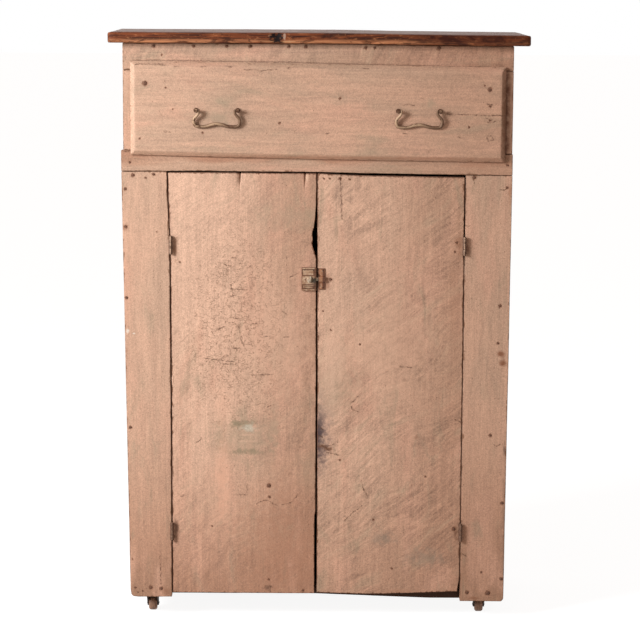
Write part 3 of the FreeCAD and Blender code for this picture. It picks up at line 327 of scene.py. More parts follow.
def old_paint(name, grain="z", spots=(), splits=(), stains_and_shadows=(), shades=(), strokes=None, crackle=None,
              joint=0.0, wear=1.0, steady=0.12, bare=None, seed=0):
    """Old thin salmon paint on pine: grain and brush marks through it, wear, nail holes and cracks, with
    painted light and shade.
    """
    made, where = new_finish(name)
    run = drawn_out(grain, 0.06)
    soft_run = drawn_out(grain, 0.28)
    broad = cloud(laid(where, soft_run, seed), 8, 4, 0.6, 0.9)
    colour = over(step(broad, 0.42, 0.64), SALMON, DULL)
    stray = 0.09
    strayed = vectors("ADD", where, scaled(cloud(laid(where, soft_run, seed), 14), stray))
    place = axes(vectors("SUBTRACT", strayed, (stray / 2, stray / 2, stray / 2)))
    # painted light and shade: each shade lightens or darkens the paint from start to end along one axis
    for axis, start, end, tint, amount in shades:
        colour = over(step(place[axis], start, end, 0, amount), colour, tint)
    rosy = cloud(laid(where, soft_run, seed + 4), 12, 3, 0.55, 0.5)
    colour = over(step(rosy, 0.48, 0.70, 0, 0.8), colour, ROSE)
    cool = cloud(laid(where, soft_run, seed + 8), 21, 5, 0.62, 1.1)
    colour = over(step(cool, 0.54, 0.76, 0, 0.55), colour, GREY_GREEN)
    streak = cloud(laid(where, run, seed + 1), 300, 3, 0.6)
    vein = cloud(laid(where, run, seed + 2), 85, 4, 0.65, 0.5)
    grit = cloud(where, 520, 3, 0.65)
    ripple = cloud(laid(where, EVEN, seed + 3), 190, 3, 0.6, 1.5)
    lumps = cloud(laid(where, (0.7, 1, 1), seed + 5), 340, 4, 0.65, 0.8)
    shade = plus(step(streak, 0.3, 0.7, -0.06, 0.05), step(vein, 0.3, 0.7, -0.08, 0.06),
                 step(grit, 0.3, 0.7, -0.12, 0.08), step(ripple, 0.3, 0.7, -0.10, 0.08),
                 step(lumps, 0.3, 0.7, -0.12, 0.07))
    height = plus(times(streak, 0.30), times(grit, 0.22), times(ripple, 0.65), times(lumps, 0.55))
    if strokes:
        turn, amount = strokes
        hairs, sweeps, shown = brush_marks(where, turn, seed)
        marks = plus(step(hairs, 0.32, 0.68, -0.17, 0.11), step(sweeps, 0.32, 0.68, -0.13, 0.09))
        shade = plus(shade, times(marks, times(shown, amount)))
        thin = times(step(sweeps, 0.52, 0.72, 0, 0.40), shown)
        colour = over(times(thin, amount), colour, GREY_GREEN)
        height = plus(height, times(hairs, 0.9 * amount))
    colour = scaled(colour, plus(shade, 1.0))

    # soft stains and rubbed patches, and painted shadows laid on the same way
    blur = cloud(laid(where, EVEN, seed + 11), 70, 5, 0.65)
    for x, z, wide, tall, tint, amount in stains_and_shadows:
        near = plus(in_oval(where, x, z, wide, tall), step(blur, 0.2, 0.8, -0.60, 0.60))
        colour = over(step(near, 0.0, 1.35, amount, 0.0), colour, tint)

    # places where the paint is rubbed through to brown wood, most of them along the arrises
    rub = cloud(laid(where, soft_run, seed + 13), 150, 5, 0.7, 0.6)
    edge = arris_gap(where)
    near_edge = step(edge, 0.0004, 0.0070, 0.22 * wear, 0.0)
    rubbed = step(plus(rub, near_edge), 0.70, 0.80, 0, 0.75)
    colour = over(rubbed, colour, BARE_WOOD)
    height = less(height, times(rubbed, 0.6))
    if joint:
        reach = plus(edge, step(rub, 0.3, 0.7, 0.0009, -0.0009))
        colour = over(step(reach, 0.0006, 0.0024, joint, 0.0), colour, JOINT_BROWN)
    pore = cells(laid(where, (1, 1, 0.8), seed + 17), 110)
    pit = times(step(pore, 0.04, 0.13, 0.7, 0.0), step(cloud(where, 33, 2), 0.50, 0.60))
    colour = over(pit, colour, BARE_WOOD)
    height = less(height, pit)
    if crackle:
        lines = alligator(where, *crackle, blur, seed)
        colour = over(times(lines, 0.42), colour, BARE_WOOD)
        height = less(height, times(lines, 0.8))

    # nail holes with a ring of rust, and hairline cracks that come and go
    ragged = 0.0065
    shaken = vectors("SUBTRACT", cloud(where, 230, part="Color"), (0.5, 0.5, 0.5))
    flat = vectors("MULTIPLY", where, (1, 0, 1))
    flat = vectors("ADD", flat, vectors("MULTIPLY", shaken, (ragged, 0, ragged)))
    if spots:
        hole = nearest_spot(flat, spots)
        colour = over(step(hole, -0.0006, 0.0022, 0.75, 0.0), colour, RUST)
        colour = over(step(hole, -0.0022, -0.0004, 0.85, 0.0), colour, GRIME)
        height = less(height, step(hole, -0.0005, 0.001, 1.2, 0.0))
    if splits:
        gap = nearest_split(flat, splits)
        fade = step(cloud(where, 170, 4, 0.65), 0.42, 0.60, steady, max(steady, 1 - steady))
        beside = times(step(gap, 0.0002, 0.0028, 0.42, 0.0), plus(fade, 0.25))
        inside = times(step(gap, 0.0002, 0.0010, 0.62, 0.0), fade)
        colour = over(inside, over(beside, colour, BARE_WOOD), GRIME)
        height = less(height, times(step(gap, 0.0, 0.0012, 1.3, 0.0), fade))
    if bare:
        axis, painted, unpainted = bare
        wood = scaled(over(step(vein, 0.35, 0.65), AGED_PINE, FRESH_PINE), plus(shade, 1.0))
        inward = axes(flat if axis == "X" else where)[axis]
        colour = over(step(inward, painted, unpainted), colour, wood)
    coat(made, colour, step(plus(rubbed, streak), 0.2, 1.4, 0.60, 0.86), height, 0.0008, gloss=0.28)
    return made


def side_bend(side):
    """Leaves the outer half of a side board behind its rabbet, and draws its front in at the foot."""
    hand = HANDS[side]

    def bend(points):
        moved = points.copy()
        behind = points[:, 1] > REBATE_Y + 1e-5
        inward = hand * points[:, 0] < REBATE_X + 0.0002
        moved[behind & inward, 0] = hand * REBATE_X
        low = np.clip((DOOR_HEAD - points[:, 2]) / (DOOR_HEAD - FRAME_FOOT), 0, 1)
        front = np.clip((CASE_BACK - points[:, 1]) / SIDE_DEEP, 0, 1)
        moved[:, 0] -= hand * DRAWN_IN[side] * low * front
        return moved
    return bend


for side, hand in HANDS.items():
    paint = old_paint(f"paint_side_{side}", bare=("X", hand * 0.3990, hand * 0.3970),
                      seed=11 if hand < 0 else 12)
    worn_board(f"side_plank_{side}", f"side_{side}", "case", paint, 0.0028, 0.014,
               ((), (REBATE_Y, REBATE_Y + 0.0001), ()), side_bend(side), 3 + hand)


# ---- back, bottom, shelves and what carries the drawer ----
# Rough pine that was never painted: upright back boards, a bottom and two shelves on cleats,
# runners, guides and kickers. All are nailed; their arrises are just broken with a plane.

DARK_GRAIN = (0.120, 0.058, 0.030)
DUST = (0.36, 0.29, 0.21)
EDGE_SHADE = (0.036, 0.015, 0.009)
SEAM_DARK = (0.055, 0.028, 0.016)
BACK_SWOLLEN = 0.0014
BACK_TONES = (0.95, 0.80, 1.05, 0.88)
BACK_NAIL_ROWS = (0.060, 0.375, 0.668, 1.240)
BOTTOM_SAG = 0.0088


def bare_pine(name, grain, seed=0, shaded_before=None, tone=1.0, seams=False):
    """Unpainted pine gone brown: growth rings drawn out along the board, dust, knots and saw marks."""
    made, where = new_finish(name)
    along = laid(where, drawn_out(grain, 0.08), seed)
    wave = cloud(along, 22, 4, 0.55, 1.2)
    rings = new_node("TexWave", {"Vector": along, "Scale": 21, "Distortion": 16, "Detail": 4}, "Fac",
                     wave_type="BANDS", bands_direction="DIAGONAL")
    fibre = cloud(along, 420, 3, 0.6)
    sawn = cloud(laid(where, EVEN, seed + 6), 130, 4, 0.65)
    knot = cells(laid(where, (1, 1, 0.7), seed + 3), 4.2)
    dust = cloud(where, 26, 5, 0.65)
    colour = over(step(wave, 0.35, 0.65), AGED_PINE, FRESH_PINE)
    colour = over(step(rings, 0.45, 1.0, 0, 0.42), colour, DARK_GRAIN)
    colour = scaled(colour, step(fibre, 0.25, 0.75, 0.80 * tone, 1.15 * tone))
    colour = scaled(colour, step(sawn, 0.3, 0.7, 0.88, 1.08))
    colour = over(step(knot, 0.03, 0.09, 0.9, 0.0), colour, DARK_GRAIN)
    colour = over(step(dust, 0.55, 0.8, 0, 0.35), colour, DUST)
    # painted shade: the front edge is darkened where it sits back under the doors
    if shaded_before is not None:
        front_shade = step(axes(where)["Y"], shaded_before - 0.004, shaded_before + 0.002, 0.92, 0.0)
        colour = over(front_shade, colour, EDGE_SHADE)
    if seams:
        colour = over(step(arris_gap(where), 0.0010, 0.0036, 0.85, 0.0), colour, SEAM_DARK)
    rough = step(fibre, 0.2, 0.8, 0.68, 0.92)
    coat(made, colour, rough, plus(fibre, times(rings, 0.4)), 0.0006, gloss=0.25)
    return made


def dress(finish, arris, *nodes):
    """Gives CAD pieces their finish and breaks their sharp arrises."""
    for node in nodes:
        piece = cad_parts[node]
        piece.data.materials.clear()
        piece.data.materials.append(finish)
        if arris:
            weld = piece.modifiers.new("weld", "WELD")
            weld.merge_threshold = 0.00001
            ease = piece.modifiers.new("arris", "BEVEL")
            ease.width = arris
            ease.segments = 2
            ease.limit_method = "ANGLE"
            ease.angle_limit = math.radians(38)


rust_iron, where = new_finish("rusty_nail_iron")
crust = cloud(where, 900, 4, 0.7)
colour = over(step(crust, 0.35, 0.65), (0.060, 0.026, 0.018), (0.200, 0.085, 0.045))
coat(rust_iron, colour, step(crust, 0.3, 0.7, 0.55, 0.9), crust, 0.0004, metal=0.35)


def head_faces(first, around, rings):
    """Faces of one nail's or screw's head: a fan round its middle point, then bands to its rim."""
    faces = []
    for i in range(around):
        j = (i + 1) % around
        faces.append((first, first + 1 + i, first + 1 + j))
        for ring in range(rings - 1):
            low = first + 1 + ring * around
            faces.append((low + i, low + around + i, low + around + j, low + j))
    return faces


def nail_heads(name, places, y, body, seed=0, crown=None, way=-1):
    """Cut-nail heads driven just below the surface, each a little out of round."""
    rng = np.random.default_rng(seed)
    around = 9
    rings = ((0.62, 0.0003), (1.0, 0.00005), (1.05, -0.0012))
    points, faces = [], []
    for x, z, radius in places:
        faces += head_faces(len(points), around, len(rings))
        face = y + way * (crown(x) if crown else 0)
        turn = rng.uniform(0, math.tau)
        points.append((x, face + way * 0.00035, z))
        for share, rise in rings:
            for i in range(around):
                a = turn + math.tau * i / around
                r = 0.85 * radius * share * rng.uniform(0.88, 1.1)
                points.append((x - way * r * math.cos(a) * 1.12, face + way * rise, z + r * math.sin(a)))
    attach(new_piece(name, points, faces, rust_iron), body)


def swollen(points):
    """Back boards have swollen until they touch."""
    low, high = points[:, 0].min(), points[:, 0].max()
    middle, half = (low + high) / 2, (high - low) / 2
    moved = points.copy()
    moved[:, 0] = middle + (points[:, 0] - middle) * (1 + BACK_SWOLLEN / half)
    return moved


for index, tone in enumerate(BACK_TONES, 1):
    planed = bare_pine(f"bare_back_{index}", "z", 10 + 3 * index, tone=tone, seams=True)
    worn_board(f"back_plank_{index}", f"back_board_{index}", "case", planed, 0.0045, 0.016,
               bend=swollen, seed=60 + index)
    low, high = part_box(f"back_board_{index}")
    rows = [(x, z, 0.0030) for z in BACK_NAIL_ROWS for x in (low[0] + 0.030, high[0] - 0.030)]
    nail_heads(f"back_nails_{index}", rows, CASE_BACK, "case", 40 + index, way=1)


def bottom_sagged(points):
    """The bottom board's front edge has dropped away at its right-hand end."""
    moved = points.copy()
    front = np.clip((-0.130 - points[:, 1]) / 0.012, 0, 1)
    moved[:, 2] -= BOTTOM_SAG * front * np.clip(points[:, 0] / 0.25, 0, 1)
    return moved


dress(bare_pine("bare_pine_x", "x", 0), 0, "shelf_lower", "shelf_upper", "drawer_back", "drawer_bottom",
      "door_battens_left", "door_battens_right")
dress(bare_pine("bare_pine_y", "y", 1), 0, "shelf_cleats", "drawer_runners", "drawer_kickers",
      "drawer_side_left", "drawer_side_right", "caster_blocks")
worn_board("bottom_plank", "bottom_board", "case",
           bare_pine("bare_pine_shaded_edge", "x", 4, shaded_before=-0.141), 0.0020, 0.016,
           ((), (-0.142, -0.138, -0.134, -0.130), ()), bottom_sagged, 71)


# ---- face frame ----
# Two rails and four stiles of pine, butted and nailed to the front of the case. The frame has
# racked a little, so its right-hand end hangs lower.

FACE = -0.168
FRAME_BARE = ("Y", -0.1530, -0.1505)
CASE_HALF = 0.416
STILE_EDGE = 0.317
STILE_HEAD = 0.9835
RAIL_HEAD = 1.029
RACKED_AT = (-0.416, -0.250, 0.0, 0.110, 0.280, 0.416)
RACKED_BY = (-0.0016, -0.0026, -0.0013, 0.0007, 0.0029, 0.0036)
LEAN_AT = (0.50, 0.80, 0.85, 0.93, 0.981)
LEAN_BY = (0.0, 0.0010, 0.0018, 0.0052, 0.0062)
SETTLED_AT = (0.05, 0.18, 0.29, 0.40, 0.45)
SETTLED_BY = (0.0, 0.0018, 0.0027, 0.0033, 0.0036)
HEAD_PROUD = {"left": 0.0050, "right": 0.0012}
FOOT_LONG = {"left": 0.0034, "right": 0.0052}
FOOT_ROUND = {"left": 0.0145, "right": 0.0105}
STILE_EASE = 0.0006
HINGE_Z = (0.827, 0.196)
LEAF_HALF = 0.019
LEAF_THICK = 0.0012
LEAF_BACK = -0.154
LEAF_LINES = (LEAF_BACK, LEAF_BACK + 0.0001)
SEAT_LINES = [z + side * (LEAF_HALF + gap) for z in HINGE_Z for side in (-1, 1) for gap in (0, 0.0001)]

# these paint tints also serve as painted light and shade: lighter towards the lamp, darker away from it and
# at the foot
FADED_AND_LIT = (0.715, 0.440, 0.310)
SMOKED_AND_SHADED = (0.430, 0.220, 0.138)
FOOT_SHADE_BROWN = (0.330, 0.200, 0.130)
CHALKY = (0.80, 0.72, 0.62)

RAIL_NAILS = [
    (-0.349, 1.252, 0.0032), (-0.264, 1.252, 0.0028), (-0.194, 1.252, 0.0026), (-0.144, 1.252, 0.0030),
    (-0.062, 1.252, 0.0026), (-0.026, 1.252, 0.0030), (0.101, 1.250, 0.0028), (0.120, 1.250, 0.0024),
    (0.256, 1.250, 0.0038)]
MIDDLE_NAILS = [(0.406, 1.002, 0.0022), (-0.402, 1.004, 0.0018)]
STILE_NAILS = {
    "left": [
        (-0.395, 0.977, 0.0030), (-0.368, 0.971, 0.0014), (-0.351, 0.979, 0.0026),
        (-0.412, 0.947, 0.0024), (-0.411, 0.866, 0.0026), (-0.411, 0.712, 0.0026),
        (-0.405, 0.427, 0.0028), (-0.397, 0.068, 0.0020), (-0.363, 0.068, 0.0034),
        (-0.340, 0.066, 0.0032), (-0.392, 0.057, 0.0012), (-0.381, 0.060, 0.0012)],
    "right": [
        (0.335, 0.975, 0.0030), (0.406, 0.954, 0.0022), (0.395, 0.698, 0.0028), (0.392, 0.616, 0.0024),
        (0.379, 0.413, 0.0026), (0.407, 0.262, 0.0030), (0.364, 0.106, 0.0014), (0.408, 0.091, 0.0030),
        (0.333, 0.060, 0.0032), (0.379, 0.059, 0.0042)],
}
LIP_SHADOW = [(-0.392, 1.2215), (-0.251, 1.2205), (-0.124, 1.2192), (-0.039, 1.2180), (0.110, 1.2143),
              (0.280, 1.2112), (0.387, 1.2090)]


def racked(points, ends=None):
    """Lets a board down to the right, all of it or only near its two ends."""
    share = np.ones(len(points))
    if ends:
        gap = np.minimum(np.abs(points[:, 2] - ends[0]), np.abs(points[:, 2] - ends[1]))
        share = np.clip(1 - gap / 0.08, 0, 1)
    moved = points.copy()
    moved[:, 2] -= np.interp(points[:, 0], RACKED_AT, RACKED_BY) * share
    return moved


def leaned(z):
    """How far the joint between the left stile and its door runs out to the left."""
    return np.interp(z, LEAN_AT, LEAN_BY)


def let_in(points, edge_x, deep):
    """Sinks an upright edge by a leaf's thickness where the hinges go."""
    at_edge = np.abs(points[:, 0] - edge_x) < 0.0045
    front = points[:, 1] < LEAF_BACK + 1e-6
    level = np.zeros(len(points), bool)
    for z in HINGE_Z:
        level |= np.abs(points[:, 2] - z) < LEAF_HALF + 1e-6
    seat = at_edge & front & level
    moved = points.copy()
    near = (moved[seat, 0] - edge_x) / np.sign(deep)
    moved[seat, 0] = edge_x + np.sign(deep) * np.maximum(near, abs(deep))
    return moved


def foot_rounded(points, side):
    """The outer corner of a stile's foot is worn to a small round."""
    round_off = FOOT_ROUND[side]
    centre = np.array([HANDS[side] * (CASE_HALF - round_off), FRAME_FOOT + round_off])
    off = points[:, [0, 2]] - centre
    long = np.linalg.norm(off, axis=1)
    worn = (off[:, 0] * HANDS[side] > 0) & (off[:, 1] < 0) & (long > round_off)
    moved = points.copy()
    moved[worn, 0] = centre[0] + off[worn, 0] / long[worn] * round_off
    moved[worn, 2] = centre[1] + off[worn, 1] / long[worn] * round_off
    return moved


def rail_settled(points):
    """The upper edge of the top rail has sunk at its right-hand end, and the top with it."""
    moved = points.copy()
    upper = np.clip((points[:, 2] - 1.215) / 0.04, 0, 1)
    moved[:, 2] -= np.interp(points[:, 0], SETTLED_AT, SETTLED_BY) * upper
    return moved


def middle_bend(points):
    """The middle rail is a little longer than the case is wide."""
    moved = racked(points)
    proud = np.where(points[:, 0] < 0, -HEAD_PROUD["left"], HEAD_PROUD["right"])
    moved[:, 0] += proud * (np.abs(points[:, 0]) / CASE_HALF) ** 4
    return moved


def short_stile_bend(points):
    """The short stiles beside the drawer go down with the rail they stand on."""
    return racked(points, (RAIL_HEAD, 1.9))


def stile_bend(side):
    """A long stile is let in for its hinges, drawn in with the case and a little long at its foot."""
    hand = HANDS[side]

    def bend(points):
        points = foot_rounded(let_in(points, hand * STILE_EDGE, hand * LEAF_THICK), side)
        x, z = points[:, 0], points[:, 2]
        low = np.clip((DOOR_HEAD - z) / (DOOR_HEAD - FRAME_FOOT), 0, 1)
        outer = np.clip((np.abs(x) - STILE_EDGE) / (CASE_HALF - STILE_EDGE), 0, 1)
        inner = np.clip((STILE_EDGE + 0.060 - np.abs(x)) / 0.060, 0, 1)
        moved = racked(points, (FRAME_FOOT, STILE_HEAD))
        moved[:, 0] -= hand * STILE_EASE * np.clip(inner * 12 - 11, 0, 1)
        if side == "left":
            moved[:, 0] -= leaned(z) * inner
        moved[:, 0] -= hand * (DRAWN_IN[side] * low - HEAD_PROUD[side] * (1 - low)) * outer
        moved[:, 2] -= FOOT_LONG[side] * np.clip(1 - (z - FRAME_FOOT) / 0.05, 0, 1)
        return moved
    return bend


# painted shade: the top rail is dulled along most of its length and darker towards its right end
rail_paint = old_paint("paint_top_rail", "x", RAIL_NAILS + [(-0.332, 1.233, 0.0016)], [LIP_SHADOW],
                       shades=[("X", -0.60, -0.35, DULL, 0.65), ("X", -0.10, 0.35, SMOKED_AND_SHADED, 0.85)],
                       strokes=(1.45, 0.75), steady=0.5, bare=FRAME_BARE, seed=21)
worn_board("rail_top", "top_rail", "case", rail_paint, 0.0024, 0.012,
           bend=rail_settled, seed=2)
nail_heads("rail_top_nails", RAIL_NAILS, FACE, "case", seed=1)

# painted shade: the middle rail is dulled along most of its length, darker to the right and darkest just
# under the drawer front
rail_paint = old_paint("paint_middle_rail", "x", MIDDLE_NAILS, [[(-0.416, 1.0275), (-0.400, 1.0272)]],
                       [(0.330, 1.001, 0.040, 0.006, SMOKED_AND_SHADED, 0.7)],
                       [("X", -0.60, -0.35, DULL, 0.80), ("X", 0.0, 0.4, SMOKED_AND_SHADED, 0.60),
                        ("Z", 1.002, 1.020, SMOKED_AND_SHADED, 0.95)], joint=0.5, bare=FRAME_BARE, seed=23)
worn_board("rail_middle", "middle_rail", "case", rail_paint, 0.0024, 0.012,
           bend=middle_bend, seed=4)
nail_heads("rail_middle_nails", MIDDLE_NAILS, FACE, "case", seed=2)

# painted shadow of the drawer front on the right short stile, darkest beside the drawer
SHORT_STILE_SHADOW = {"left": [], "right": [(0.412, 1.115, 0.014, 0.17, (0.330, 0.165, 0.105), 0.75),
                                          (0.4005, 1.115, 0.0065, 0.17, (0.120, 0.042, 0.018), 0.85)]}
for side, hand in HANDS.items():
    paint = old_paint(f"paint_drawer_stile_{side}", stains_and_shadows=SHORT_STILE_SHADOW[side], joint=0.5,
                      bare=FRAME_BARE, seed=25 + hand)
    worn_board(f"stile_drawer_{side}", f"drawer_stile_{side}", "case", paint, 0.0022, 0.012,
               bend=short_stile_bend, seed=6 + hand)

STILE_MARKS = {
    "left": {
        "spots": STILE_NAILS["left"] + [(-0.403, 0.132, 0.0010), (-0.345, 0.855, 0.0008)],
        "splits": [[(-0.342, 0.140), (-0.341, 0.075)]],
        "stains_and_shadows": [
            (-0.409, 0.641, 0.0035, 0.006, CHALKY, 0.9), (-0.396, 0.634, 0.0035, 0.002, CHALKY, 0.8),
            (-0.413, 0.866, 0.007, 0.008, RUST, 0.6), (-0.414, 0.598, 0.004, 0.010, RUST, 0.5),
            (-0.330, 0.060, 0.016, 0.012, RUST, 0.5)],
        # painted light and shade: lighter higher up, darker and browner towards the foot
        "shades": [("Z", 0.25, 0.60, FADED_AND_LIT, 0.22), ("Z", 0.42, 0.02, SMOKED_AND_SHADED, 1.0),
                   ("Z", 0.22, 0.02, FOOT_SHADE_BROWN, 0.45)],
    },
    "right": {
        "spots": STILE_NAILS["right"],
        "splits": [
            [(0.334, 0.975), (0.335, 0.965), (0.333, 0.945)],
            [(0.386, 0.392), (0.393, 0.389), (0.400, 0.393)], [(0.316, 0.872), (0.326, 0.871)],
            [(0.391, 0.949), (0.400, 0.948), (0.406, 0.953)], [(0.322, 0.148), (0.330, 0.143)]],
        "stains_and_shadows": [
            (0.398, 0.593, 0.008, 0.007, RUST, 1.0), (0.404, 0.571, 0.009, 0.011, RUST, 1.0),
            (0.410, 0.378, 0.004, 0.016, GRIME, 0.6), (0.337, 0.984, 0.010, 0.010, GRIME, 0.6),
            (0.349, 0.047, 0.014, 0.004, RUST, 0.7), (0.412, 0.940, 0.004, 0.030, SMOKED_AND_SHADED, 0.9),
            (0.412, 0.180, 0.006, 0.180, (0.260, 0.150, 0.100), 0.7),
            # painted shadow of the upper hinge knuckle on the stile, to its right
            (0.3225, 0.824, 0.004, 0.020, (0.240, 0.110, 0.065), 0.8)],
        # painted shade: darker and browner towards the foot
        "shades": [("Z", 0.50, 0.04, SMOKED_AND_SHADED, 1.0), ("Z", 0.30, 0.02, FOOT_SHADE_BROWN, 0.35)],
    },
}
for side, hand in HANDS.items():
    paint = old_paint(f"paint_stile_{side}", seed=30 + hand, joint=0.45, bare=FRAME_BARE, **STILE_MARKS[side])
    worn_board(f"stile_{side}_board", f"stile_{side}", "case", paint, 0.0030, 0.012,
               ((), LEAF_LINES, SEAT_LINES), stile_bend(side), 8 + hand)
nail_heads("stile_left_nails", STILE_NAILS["left"], FACE, "case", seed=3)
nail_heads("stile_right_nails", STILE_NAILS["right"], FACE, "case", seed=4)


# ---- top ----
# Two pine boards side by side, stained dark and nailed down through the top. Handling has
# rounded the front edge, worn its lower half pale and left a dark knot with a chip beside it.

TOP_HALF = 0.450
TOP_FRONT = -0.190
TOP_DEEP = 0.380
TOP_CORNER = 0.012
TOP_SKEW = 0.0040
CHIP_DEEP = 0.0045
DENT_DEEP = 0.0022
KNOT_X = -0.087
STAIN = (0.185, 0.048, 0.018)
STAIN_DARK = (0.036, 0.011, 0.007)
STAIN_WORN = (0.370, 0.125, 0.050)
STAIN_RUBBED = (0.500, 0.205, 0.095)
STAIN_FLECK = (0.50, 0.20, 0.085)
RIGHT_END_SHADE_BLACK = (0.034, 0.007, 0.004)
DUST_AND_SHEEN_TOP = (0.52, 0.41, 0.38)
KNOT_MARKS = [
    (-0.102, 1.2745, 0.004, 0.003, (0.34, 0.17, 0.10), 0.7),
    (KNOT_X, 1.2695, 0.0165, 0.0150, (0.008, 0.004, 0.004), 1.0),
    (-0.0715, 1.2720, 0.003, 0.009, (0.42, 0.27, 0.20), 0.75),
    (-0.064, 1.2625, 0.013, 0.0022, (0.48, 0.26, 0.13), 0.8),
    (-0.110, 1.2625, 0.016, 0.0016, (0.38, 0.17, 0.08), 0.8)]


def old_stain(name, seed=0):
    """Dark stain drawn along the grain: sooty and scuffed, pale low on its front edge, darker at its right
    end with painted shade, dusty with a painted sheen on top.
    """
    made, where = new_finish(name)
    place = axes(where)
    along = laid(where, drawn_out("x", 0.06), seed)
    figure = cloud(along, 90, 5, 0.7, 1.4)
    fine = cloud(along, 420, 4, 0.7)
    colour = over(step(figure, 0.40, 0.57), STAIN_DARK, STAIN)

    # the front edge is rubbed pale below, less so towards the right, where a painted shade darkens it
    low = times(step(place["Z"], 1.2610, 1.2700, 1.0, 0.0), step(place["X"], 0.17, 0.28, 1.0, 0.30))
    front = step(place["Y"], -0.1890, -0.1835, 1.0, 0.0)
    rub = cloud(laid(where, drawn_out("x", 0.15), seed + 5), 60, 5, 0.65, 0.8)
    colour = over(times(low, front, step(rub, 0.36, 0.56)), colour, STAIN_RUBBED)
    scuff = cloud(laid(where, drawn_out("x", 0.3), seed + 9), 75, 6, 0.7, 0.6)
    colour = over(step(scuff, 0.53, 0.67, 0, 0.75), colour, STAIN_WORN)
    sooty = cloud(laid(where, drawn_out("x", 0.35), seed + 12), 60, 4, 0.7, 1.0)
    colour = over(step(sooty, 0.53, 0.64, 0, 0.70), colour, STAIN_DARK)
    fleck = cloud(laid(where, drawn_out("x", 0.45), seed + 3), 210, 3, 0.6, 0.5)
    colour = over(step(fleck, 0.60, 0.70, 0, 0.45), colour, STAIN_FLECK)
    right_end_shade = times(front, step(place["X"], 0.14, 0.25), step(place["X"], 0.37, 0.44, 1.0, 0.3),
                    step(place["Z"], 1.2600, 1.2650, 0.3, 1.0), step(sooty, 0.38, 0.56, 0.40, 0.88))
    colour = over(right_end_shade, colour, RIGHT_END_SHADE_BLACK)

    # dust and a painted sheen pale the flat of the top behind its front edge, less towards the right
    dust_and_sheen = times(step(cloud(where, 40, 4, 0.6), 0.3, 0.7, 0.60, 0.95), step(figure, 0.35, 0.65, 0.78, 1.0),
                 step(place["X"], 0.15, 0.40, 1.0, 0.86))
    colour = over(times(step(place["Y"], -0.178, -0.080), dust_and_sheen), colour, DUST_AND_SHEEN_TOP)
    colour = scaled(colour, step(fine, 0.25, 0.75, 0.72, 1.18))
    for x, z, wide, tall, tint, amount in KNOT_MARKS:
        near = plus(in_oval(where, x, z, wide, tall, TOP_FRONT, 40), step(fleck, 0.2, 0.8, -0.5, 0.5))
        colour = over(step(near, 0.5, 1.05, amount, 0.0), colour, tint)
    rough = step(figure, 0.3, 0.7, 0.46, 0.68)
    coat(made, colour, rough, plus(fine, times(figure, 1.4)), 0.0007, gloss=0.10)
    return made


def top_settled(points):
    """The top dips with the rail under it, and its left end was sawn a little out of square."""
    moved = points.copy()
    left = np.clip((-0.400 - points[:, 0]) / 0.050, 0, 1)
    front = np.clip((TOP_FRONT + TOP_DEEP - points[:, 1]) / TOP_DEEP, 0, 1)
    moved[:, 0] += TOP_SKEW * left * front
    moved[:, 2] -= np.interp(points[:, 0], SETTLED_AT, SETTLED_BY)
    return moved


def top_dented(points):
    """The chip beside the knot, dents along the front edge and the rounded front corners."""
    x, y, z = points.T
    moved = points.copy()
    front = np.clip((-0.183 - y) / 0.007, 0, 1)
    chip = np.exp(-((x - KNOT_X) / 0.010) ** 2) * np.exp(-((z - 1.2755) / 0.006) ** 2)
    dents = np.clip(wander(points, 24, 4.2) - 0.15, 0, 1)
    moved[:, 1] += front * (CHIP_DEEP * chip + DENT_DEEP * dents)
    off_x = np.abs(x) - (TOP_HALF - TOP_CORNER)
    off_y = TOP_FRONT + TOP_CORNER - y
    long = np.hypot(off_x, off_y)
    worn = (off_x > 0) & (off_y > 0) & (long > TOP_CORNER)
    moved[worn, 0] = np.sign(x[worn]) * (TOP_HALF - TOP_CORNER + off_x[worn] / long[worn] * TOP_CORNER)
    moved[worn, 1] = TOP_FRONT + TOP_CORNER - off_y[worn] / long[worn] * TOP_CORNER
    return top_settled(moved)


worn_board("top_front_plank", "top_board_front", "case", old_stain("stain_front", 1),
           0.0085, 0.012, ([KNOT_X + i * 0.003 for i in range(-5, 6)], (), ()), top_dented, 21)
worn_board("top_back_plank", "top_board_back", "case", old_stain("stain_back", 6),
           0.0045, 0.014, bend=top_settled, seed=24)


# ---- drawer ----
# A plain nailed box behind a thick pine front. The front is planed to a bevel all round, laps
# over the frame on four sides and hangs a little low to the right.

